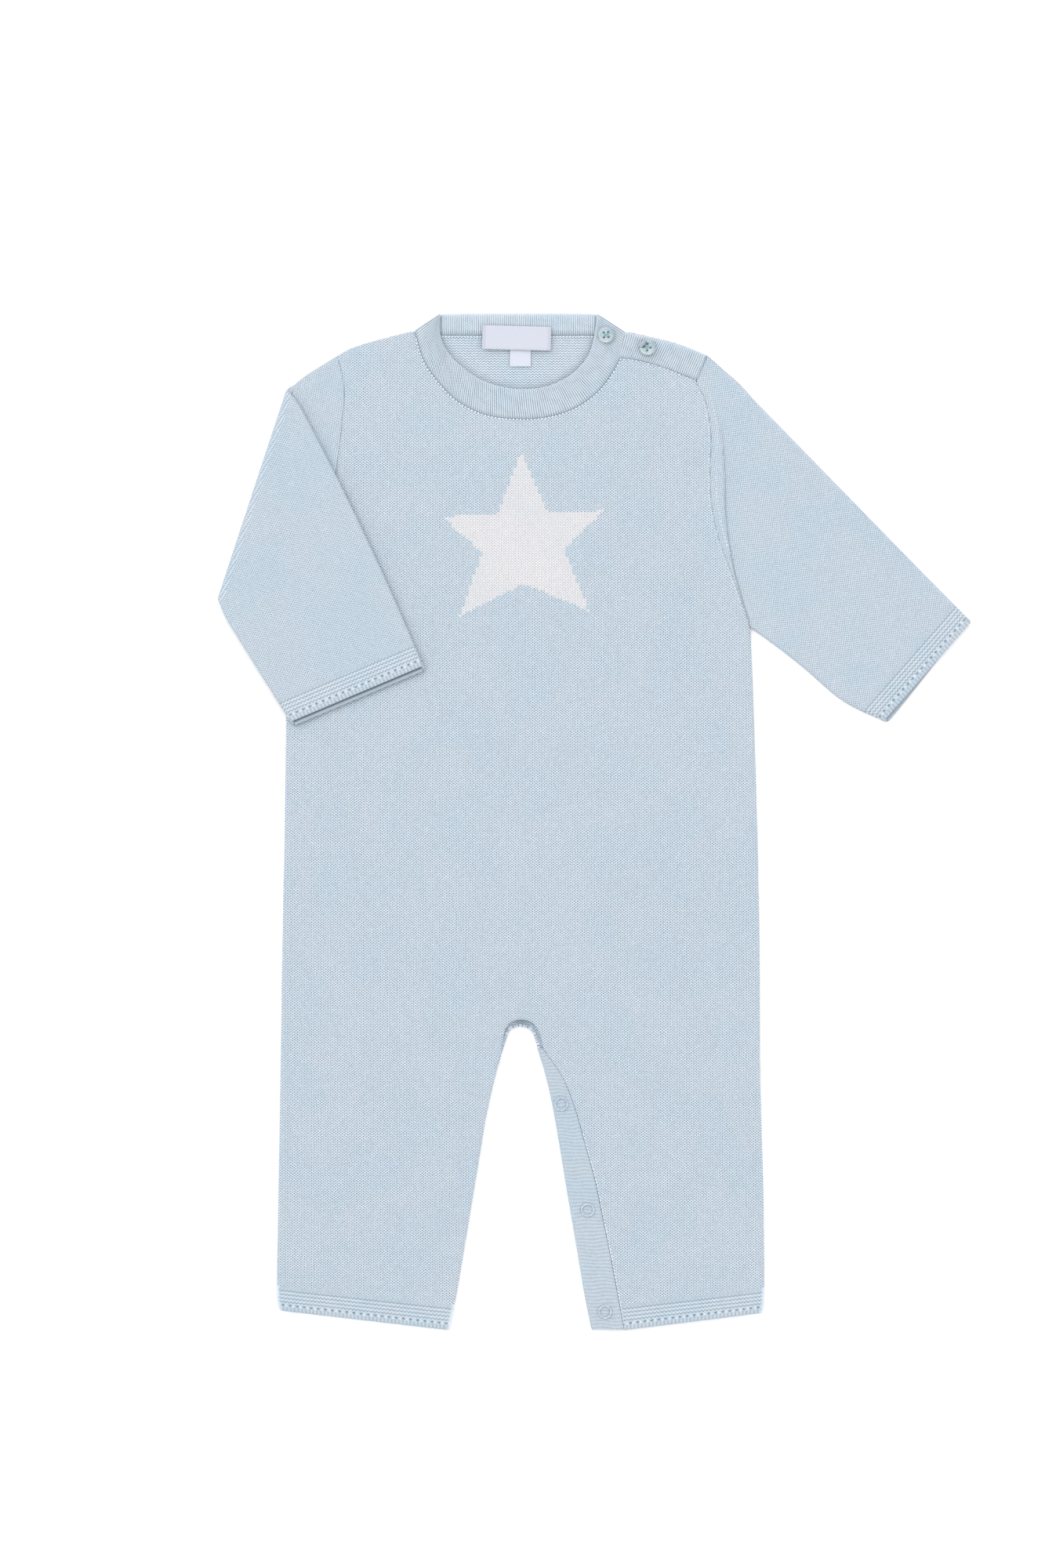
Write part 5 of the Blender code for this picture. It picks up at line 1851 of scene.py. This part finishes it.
@dataclass
class RibbedStrip:
    """A ribbed strip: a rounded section carried along it, raised by ribs that run across it."""

    name: str
    stations: Line
    section: Line
    pitch: float
    lies_at: float
    per_rib: int = 6
    around: int = 34
    wobble: float = 0.0
    depth: float = 1.0
    scaled: bool = False
    # The share of its length after which the painted shade at the seam fades out.
    seam_shade_until: float = 2.0

    def build(self) -> Piece:
        """Make the strip.

        A rib's relief is the cosine of the distance along the strip, flattened at its crest, and
        the courses across it add a small ripple.

        Returns:
            The strip.
        """
        stations = np.array(self.stations)
        middle = (stations[:, :2] + stations[:, 2:4]) / 2
        ribs = round(length_of(middle) / self.pitch)
        rows = smooth_curve(np.column_stack((middle, stations)), ribs * self.per_rib + 1)[:, 2:]
        seam, edge = rows[:, None, :2], rows[:, None, 2:4]
        scale = rows[:, 4:5] if self.scaled else np.ones((len(rows), 1))
        width = np.linalg.norm(edge - seam, axis=2).mean()
        control = np.array(self.section) * (width, 1.0, 1.0)
        ring = smooth_curve(control, self.around)
        across, height, share = ring[:, 0] / width, ring[:, 1], np.clip(ring[:, 2], 0.0, 1.0)
        below = np.linspace(across[-1], across[0], 6)[1:-1]
        across = np.concatenate((across, below))
        height = np.concatenate((height, np.linspace(height[-1], height[0], 6)[1:-1]))
        share = np.concatenate((share, np.zeros(4)))
        profile = np.concatenate(([0.0], np.cumsum(np.hypot(np.diff(ring[:, 0]), np.diff(ring[:, 1])))))
        profile = np.concatenate((profile, np.full(4, profile[-1])))
        rib = np.arange(len(rows))[:, None] / self.per_rib
        drift = self.wobble * (np.sin(5.0 * across + 0.37 * rib) + 0.6 * np.sin(9.0 * across - 0.21 * rib))
        phase = rib + drift
        crest = np.abs(np.cos(np.pi * phase)) ** 0.9
        course = 0.5 + 0.5 * np.cos(2 * np.pi * (profile / COURSE + 0.5 * (np.floor(phase + 0.5) % 2)))
        relief = self.depth * (RIB_HEIGHT * crest + 0.10 * course * crest)
        plan = seam + (edge - seam) * across[None, :, None]
        z = self.lies_at + height * scale + relief * share
        uv = np.dstack((phase * np.ones_like(z), profile / COURSE * np.ones_like(z)))
        uv = np.dstack((np.hstack((uv[..., 0], uv[:, :1, 0])), np.hstack((uv[..., 1], uv[:, -1:, 1]))))
        # Painted shade: between the ribs and the courses, towards the seam where the strip rolls down, and
        # evenly over strips with shallow ribs.
        hollow_shade = (1.0 - crest) ** 1.3 * share + 0.28 * (1.0 - course) * crest * share
        seam_edge_shade = 0.5 * (1.0 - eased(profile, 0.8, 3.6)) * (1.0 - 0.6 * crest)
        seam_edge_shade = seam_edge_shade * (1.0 - eased(rib / ribs, self.seam_shade_until - 0.03, self.seam_shade_until + 0.03))
        hollow_shade = self.depth * (hollow_shade + seam_edge_shade) + 0.46 * (1.0 - self.depth) + 0.05
        shell = Shell()
        shell.capped(np.dstack((plan, z)), uv, np.clip(hollow_shade, 0.0, 1.0))
        return shell.build(self.name)


@dataclass(frozen=True)
class BeadRow:
    """A row of small raised loops along a line, as linking and fashioning leave behind."""

    path: Array
    pitch: float
    length: float
    width: float
    height: float

    def add_to(self, shell: Shell, surface: Callable[[Array], Array]) -> None:
        """Add the row to a mesh, each loop an ellipsoid that lies along the line.

        Args:
            shell: the mesh.
            surface: gives the height of the cloth at points of the plan.
        """
        number = int(length_of(self.path) / self.pitch)
        share = (np.arange(number) + 0.5) / number
        middle = at_shares(self.path, share)
        ahead = at_shares(self.path, np.clip(share + 0.004, 0.0, 1.0)) - at_shares(
            self.path, np.clip(share - 0.004, 0.0, 1.0))
        ahead /= np.linalg.norm(ahead, axis=1, keepdims=True)
        aside = np.column_stack((-ahead[:, 1], ahead[:, 0]))
        polar = np.linspace(0.0, np.pi, 7)[:, None]
        round_it = np.linspace(0.0, 2 * np.pi, 8, endpoint=False)[None]
        along = -np.cos(polar) * self.length / 2 + 0 * round_it
        out = np.sin(polar) * np.cos(round_it) * self.width / 2
        up = np.sin(polar) * np.sin(round_it) * self.height / 2
        plan = (middle[:, None, None] + along[..., None] * ahead[:, None, None]
                + out[..., None] * aside[:, None, None])
        z = surface(middle)[:, None, None] + up
        uv = np.dstack(np.meshgrid(np.linspace(0, 1, 9), np.linspace(0, 1, 7)))
        # Painted shade, darker on each loop's underside.
        hollow_shade = np.clip(0.5 - 1.3 * up / self.height, 0.0, 1.0)
        shell.copies(np.concatenate((plan, z[..., None]), axis=3), uv, hollow_shade)


@dataclass
class Button:
    """A dished round button with four holes, a height over a disc carried round its middle."""

    x: float
    y: float
    lies_at: float
    turn: float
    radius: float = 4.35
    thick: float = 2.0
    dish_radius: float = 2.9
    dish_depth: float = 0.6
    hole: float = 0.62
    hole_spacing: float = 1.15
    # How strongly the shade of the buttonhole's lip is painted on the button.
    lip_shade: float = 0.0
    sides: int = 96

    def build(self, name: str) -> Piece:
        """Make the button: the dish and rim fall off by smooth steps, and each hole is sunk as a deep pit.

        Args:
            name: the piece's name.
        Returns:
            The button.
        """
        radius = np.concatenate((np.linspace(0.05, 3.6, 40), np.linspace(3.7, 4.15, 6)))
        edge_angle = np.linspace(0.2, np.pi / 2, 6)
        radius = np.concatenate((radius, self.radius - 0.2 + 0.2 * np.sin(edge_angle)))
        flat_rim = eased(radius, self.dish_radius - 0.7, self.dish_radius + 0.3)
        height = self.thick - self.dish_depth * (1.0 - flat_rim)
        height[-6:] = self.thick - 0.2 + 0.2 * np.cos(edge_angle)
        angle = np.linspace(0.0, 2 * np.pi, self.sides, endpoint=False)[None]
        plan = np.dstack((radius[:, None] * np.cos(angle), radius[:, None] * np.sin(angle)))
        z = np.broadcast_to(height[:, None], plan.shape[:2]).copy()
        wells = np.zeros_like(z)
        for side_x in (-1, 1):
            for side_y in (-1, 1):
                place = self._turned(np.array((side_x, side_y)) * self.hole_spacing)
                near = np.linalg.norm(plan - place, axis=2)
                wells += 1.0 - eased(near, self.hole - 0.14, self.hole + 0.06)
        wells = np.clip(wells, 0.0, 1.0)
        z -= 1.1 * wells
        under_radius = np.array((self.radius, self.radius - 0.25, 2.0, 0.05))
        under_height = np.array((0.35, 0.0, 0.0, 0.0))
        under = np.dstack((under_radius[:, None] * np.cos(angle), under_radius[:, None] * np.sin(angle)))
        plan = np.vstack((plan, under)) + (self.x, self.y)
        z = np.vstack((z, np.broadcast_to(under_height[:, None], under.shape[:2]))) + self.lies_at
        grid = np.dstack((plan, z))
        uv = np.dstack(np.meshgrid(np.linspace(0, 1, self.sides + 1), np.linspace(0, 1, len(grid))))
        shell = Shell()
        # Painted shade: dark in the wells, in a crescent where the buttonhole's lip lies over the button,
        # and in rings on the rim, most on the side away from the window light.
        from_lip = np.linalg.norm(plan[:len(wells)] - (self.x - 2.9, self.y + 2.1), axis=2)
        lip_shade = self.lip_shade * (0.85 * bell(from_lip - 2.3, 0.38) + 0.35 * (1.0 - eased(from_lip, 1.9, 2.3)))
        shaded_side = eased(np.cos(angle - 0.3), -0.2, 1.0)
        rim = (0.26 * bell(radius - 4.2, 0.22) + 0.12 * bell(radius - 2.8, 0.3))[:, None] + (
            0.30 * bell(radius - 3.6, 0.5)[:, None] * shaded_side)
        dark = np.vstack((np.maximum(np.maximum(wells, lip_shade), rim), np.zeros(under.shape[:2])))
        shell.capped(grid, uv, dark)
        return shell.build(name)

    def _turned(self, offset: Array) -> Array:
        """An offset from the button's middle, turned with it."""
        c, s = math.cos(self.turn), math.sin(self.turn)
        return np.array((c * offset[0] - s * offset[1], s * offset[0] + c * offset[1]))

    def thread(self, name: str) -> Piece:
        """Strands side by side over the square between the holes, each a tube along an arch.

        Args:
            name: the piece's name.
        Returns:
            The thread.
        """
        shell = Shell()
        t = np.linspace(-1.0, 1.0, 17)
        rise = self.lies_at + self.thick - self.dish_depth + 0.22 - 1.0 * np.abs(t) ** 5
        direction = self._turned(np.array((0.0, 1.0)))
        aside = np.array((direction[1], -direction[0]))
        for offset in (-1.3, -0.95, -0.5, 0.0, 0.5, 0.95, 1.3):
            middle = offset * self.hole_spacing / 1.15 * aside + (self.x, self.y)
            reach = np.outer(t * self.hole_spacing * (1.0 if abs(offset) > 0.6 else 0.8), direction)
            tube(shell, np.column_stack((reach + middle, rise)), 0.2, 8)
        return shell.build(name)

    def lip(self, name: str) -> Piece:
        """The buttonhole's near lip, a soft roll of knit along an arc over the button's rim.

        Args:
            name: the piece's name.
        Returns:
            The lip.
        """
        angle = np.radians(np.linspace(98.0, 190.0, 25))
        fade = np.sin(np.linspace(0.0, np.pi, 25))
        far = self.radius - 0.55 - 0.5 * fade
        rise = np.full(25, self.lies_at + self.thick - 0.15) - 0.9 * (1.0 - fade) ** 2
        centre = np.column_stack((self.x + far * np.cos(angle), self.y + far * np.sin(angle), rise))
        shell = Shell()
        # The lip carries a heavy painted shade.
        tube(shell, centre, 1.15 * (0.5 + 0.5 * fade), 14, 0.62)
        return shell.build(name)


def tube(shell: Shell, centre: Array, radius: Array | float, sides: int, hollow_shade: float = 0.2) -> None:
    """Add a round tube along a line of points to a shell.

    Args:
        shell: the mesh that it is added to.
        centre: the line's points.
        radius: the tube's radius, or one for each point.
        sides: how many sides it has.
        hollow_shade: its hollow value.
    """
    heading = np.gradient(centre, axis=0)
    heading /= np.linalg.norm(heading, axis=1, keepdims=True)
    side = np.cross(heading, (0.0, 0.0, 1.0))
    side /= np.maximum(np.linalg.norm(side, axis=1, keepdims=True), 1e-9)
    up = np.cross(side, heading)
    angle = np.linspace(0.0, 2 * np.pi, sides, endpoint=False)[None, :, None]
    radius = np.broadcast_to(radius, len(centre))[:, None, None]
    ring = centre[:, None] + radius * (np.cos(angle) * side[:, None] + np.sin(angle) * up[:, None])
    uv = np.dstack(np.meshgrid(np.linspace(0, 2, sides + 1), np.linspace(0, 6, len(centre))))
    # One painted shade value for the whole tube.
    shell.capped(ring, uv, hollow_shade)


def snap_ring(name: str, x: float, y: float) -> Piece:
    """A snap's ring: two lips with a groove between them, turned about the snap's middle.

    Args:
        name: the piece's name.
        x: the snap's place across.
        y: its place up.
    Returns:
        The ring.
    """
    section = np.array((
        (2.75, 0.10), (2.80, 0.42), (2.98, 0.56), (3.14, 0.50), (3.24, 0.36), (3.36, 0.50),
        (3.50, 0.60), (3.66, 0.46), (3.70, 0.10), (3.50, 0.02), (2.95, 0.02)))
    angle = np.linspace(0.0, 2 * np.pi, 72, endpoint=False)[:, None]
    ring = np.dstack((x + section[:, 0] * np.cos(angle), y + section[:, 0] * np.sin(angle),
                      np.broadcast_to(4.15 + section[:, 1], (72, len(section)))))
    ring = np.vstack((ring, ring[:1]))
    uv = np.dstack(np.meshgrid(np.linspace(0, 1, len(section) + 1), np.linspace(0, 24, 73)))
    shell = Shell()
    shell.grid(ring, uv, wrap=True)
    return shell.build(name)


@dataclass(frozen=True)
class Ribbon:
    """A blank ribbon that lies almost flat, with folded-in ends and a slow wave."""

    name: str
    middle: tuple[float, float]
    width: float
    length: float
    turn: float
    lies_at: float
    wave: float
    thick: float = 0.45

    def build(self) -> Piece:
        """Make the ribbon, a closed thin wall whose face waves along its width.

        Returns:
            The ribbon.
        """
        end, side = np.array((0.0, 0.01, 0.03)), np.array((0.0, 0.02, 0.05))
        u = self.width * (graded(1.0, end, end, 36) - 0.5)
        v = self.length * (graded(1.0, side, side, 12) - 0.5)
        across, along = np.meshgrid(u, v)
        angle = math.radians(self.turn)
        plan = np.dstack((across * math.cos(angle) - along * math.sin(angle),
                          across * math.sin(angle) + along * math.cos(angle))) + self.middle
        edge = np.minimum(self.width / 2 - np.abs(across), self.length / 2 - np.abs(along))
        rise = self.wave * (1.0 + np.cos(across / self.width * 7.0 + along * 0.12)) + 0.35
        rounded = 0.18 * (1.0 - eased(edge, 0.0, 0.6))
        outer = np.dstack((plan, self.lies_at + self.thick + rise * 0.6 - rounded))
        inner = np.dstack((plan, self.lies_at + rise * 0.6 + rounded))
        return walled(self.name, outer, inner, np.dstack((across, along)))


@dataclass
class Trims:
    """The ribbed pieces, the buttons, the snaps and the labels."""

    romper: Romper
    finishes: Finishes
    label: Ribbon = Ribbon("woven_label_satin", (-2.1, 258.9), 36.8, 12.7, -1.5, 3.1, 0.22)
    tab: Ribbon = Ribbon("size_tab_satin", (-0.1, 248.8), 11.2, 10.2, 0.0, 1.8, 0.12)

    def linking(self) -> None:
        """The small loops along the seams: round the neck and by the plackets and armholes."""
        romper, shell = self.romper, Shell()
        for path, pitch, size, rise in (
                (beside(romper.band_seam, -0.8)[4:-4], 1.9, (1.15, 1.1, 0.85), 0.0),
                (beside(romper.placket_seam, -0.6)[3:-2], 2.2, (1.25, 0.65, 0.5), -0.05),
                (beside(romper.armhole_right, -1.0)[12:-8], 1.9, (1.1, 0.5, 0.5), -0.16),
                (beside(romper.armhole_right, 3.2)[14:-22], 2.2, (1.0, 0.55, 0.5), -0.14),
                (beside(romper.leg_seam, 0.4)[38:-2], 1.9, (1.1, 0.8, 0.65), 0.2)):
            BeadRow(path, pitch, *size).add_to(shell, lambda plan: romper.front_base(plan) + rise)
        back = smooth_curve([(row[0], row[1] - 1.0) for row in NECKBAND_BACK[1:-1]], 80)
        BeadRow(back, 1.7, 1.3, 0.9, 0.8).add_to(shell, lambda plan: np.full(len(plan), CLOTH + 0.2))
        dress(shell.build("linking_loops"), self.finishes.loop, "knit")

    def ribs(self) -> None:
        """The neckband's two stretches and both plackets."""
        strips = (
            (RibbedStrip("neckband_front_rib", NECKBAND_FRONT, NECKBAND_SECTION, NECK_RIB,
                         FRONT_LIES_AT, around=44, wobble=0.06, depth=0.95, seam_shade_until=0.90),
             "neckband_front", (0.0185, 0.155)),
            (RibbedStrip("neckband_back_rib", NECKBAND_BACK, BACK_BAND_SECTION, NECK_RIB, 0.0,
                         wobble=0.06, depth=0.85, scaled=True), "neckband_back", (0.0115, 0.109)),
            (RibbedStrip("shoulder_placket_rib", SHOULDER_PLACKET, PLACKET_SECTION, NECK_RIB,
                         FRONT_LIES_AT, wobble=0.06, depth=0.95), "shoulder_placket", (0.0145, 0.042)),
            (RibbedStrip("leg_placket_rib", LEG_PLACKET, LEG_PLACKET_SECTION, LEG_RIB, FRONT_LIES_AT,
                         per_rib=8, wobble=0.16, depth=0.3), "leg_placket", (0.0165, 0.158)))
        for strip, node, flat in strips:
            piece = strip.build()
            dress(piece, self.finishes.rib, "rib", node)

    def buttons(self) -> None:
        """Both buttons with their thread."""
        pearl = ShellFinish("pearl").build()
        thread = self.finishes.knit("turquoise_thread", Stitch.IN_MESH, THREAD_YARN)
        for name, x, y, lies_at, turn in BUTTONS:
            button = Button(x, y, lies_at, math.radians(turn), lip_shade=float(name == "button_shoulder"))
            piece = button.build(name + "_shell")
            dress(piece, pearl, "shell", name)
            dress(button.thread(name + "_thread"), thread, "shell")
        dress(button.lip("buttonhole_lip"), self.finishes.rib, "knit")

    def snaps(self) -> None:
        """The rings of the snaps."""
        lacquer = LacquerFinish("snap_lacquer").build()
        for index, (x, y) in enumerate(SNAPS, start=1):
            dress(snap_ring(f"snap_{index}_ring", x, y), lacquer, "snap", f"snap_{index}")

    def labels(self) -> None:
        """The blank woven label and the size tab under it."""
        satin = SatinFinish("satin_ribbon").build()
        plain = SatinFinish("plain_satin", linear(205, 209, 219), linear(178, 183, 198)).build()
        for ribbon, finish, node, flat in (
                (self.label, satin, "woven_label", (0.0368, 0.0127)),
                (self.tab, plain, "size_tab", (0.0112, 0.0102))):
            piece = ribbon.build()
            dress(piece, finish, "ribbon", node)


# The studio.

@dataclass(frozen=True)
class Studio:
    """A white surface, plain soft light and a camera straight above."""

    camera_height: float = 2.3365
    camera_place: tuple[float, float] = (-0.03855, 0.02025)
    lens: float = 100.0
    sensor: float = 36.0
    floor_size: float = 12.0
    floor_height: float = -0.0002
    world_strength: float = 0.985
    lights_face: tuple[float, float, float] = (-0.04, 0.0, 0.0)

    def build(self) -> None:
        """Make the floor, the lights, the world and the camera."""
        self._floor()
        self._light("window", (-1.5, 1.7, 2.4), 3.0, 54.0)
        self._light("fill", (1.8, -1.0, 2.6), 2.8, 32.0)
        world = bpy.data.worlds.new("studio")
        bpy.context.scene.world = world
        world.use_nodes = True
        background = world.node_tree.nodes["Background"]
        background.inputs["Color"].default_value = (1.0, 1.0, 1.0, 1.0)
        background.inputs["Strength"].default_value = self.world_strength
        bpy.context.scene.view_settings.view_transform = "Standard"
        camera = bpy.data.cameras.new("above")
        camera.lens = self.lens
        camera.sensor_width = self.sensor
        camera.clip_end = 50.0
        holder = bpy.data.objects.new("above", camera)
        holder.location = (*self.camera_place, self.camera_height)
        bpy.context.scene.collection.objects.link(holder)
        bpy.context.scene.camera = holder

    def _floor(self) -> None:
        """The white surface, just under the romper."""
        half, low = self.floor_size / 2, self.floor_height
        mesh = bpy.data.meshes.new("floor")
        corners = [(-half, -half, low), (half, -half, low), (half, half, low), (-half, half, low)]
        mesh.from_pydata(corners, [], [(0, 1, 2, 3)])
        floor = bpy.data.objects.new("floor", mesh)
        bpy.context.scene.collection.objects.link(floor)
        material, n, shader = new_material("white_paper")
        grain = n.noise(n.add("TexCoord").outputs["Object"], 300.0, 2.0)
        n.feed(shader, {
            "Base Color": n.mixed(grain, (0.93, 0.93, 0.935), (0.95, 0.95, 0.95)),
            "Roughness": 0.85, "Specular IOR Level": 0.2})
        mesh.materials.append(material)

    def _light(self, name: str, place: tuple[float, float, float], size: float, power: float) -> None:
        """A square soft light that faces the romper.

        Args:
            name: the light's name.
            place: where it hangs, in metres.
            size: the length of its side, in metres.
            power: its power, in watts.
        """
        light = bpy.data.lights.new(name, "AREA")
        light.size = size
        light.energy = power
        holder = bpy.data.objects.new(name, light)
        holder.location = place
        towards = Vector(self.lights_face) - Vector(place)
        holder.rotation_euler = towards.to_track_quat("-Z", "Y").to_euler()
        bpy.context.scene.collection.objects.link(holder)


def main() -> None:
    """Build the romper piece by piece, and the studio round it."""
    logging.basicConfig(level=logging.INFO, format="%(message)s")
    finishes = Finishes()
    romper = Romper(finishes)
    romper.back_panel()
    romper.front_panel()
    sleeves = Sleeves(romper, finishes)
    sleeves.straight()
    sleeves.folded()
    trims = Trims(romper, finishes)
    trims.linking()
    trims.ribs()
    trims.buttons()
    trims.snaps()
    trims.labels()
    Studio().build()


if __name__ == "__main__":
    main()
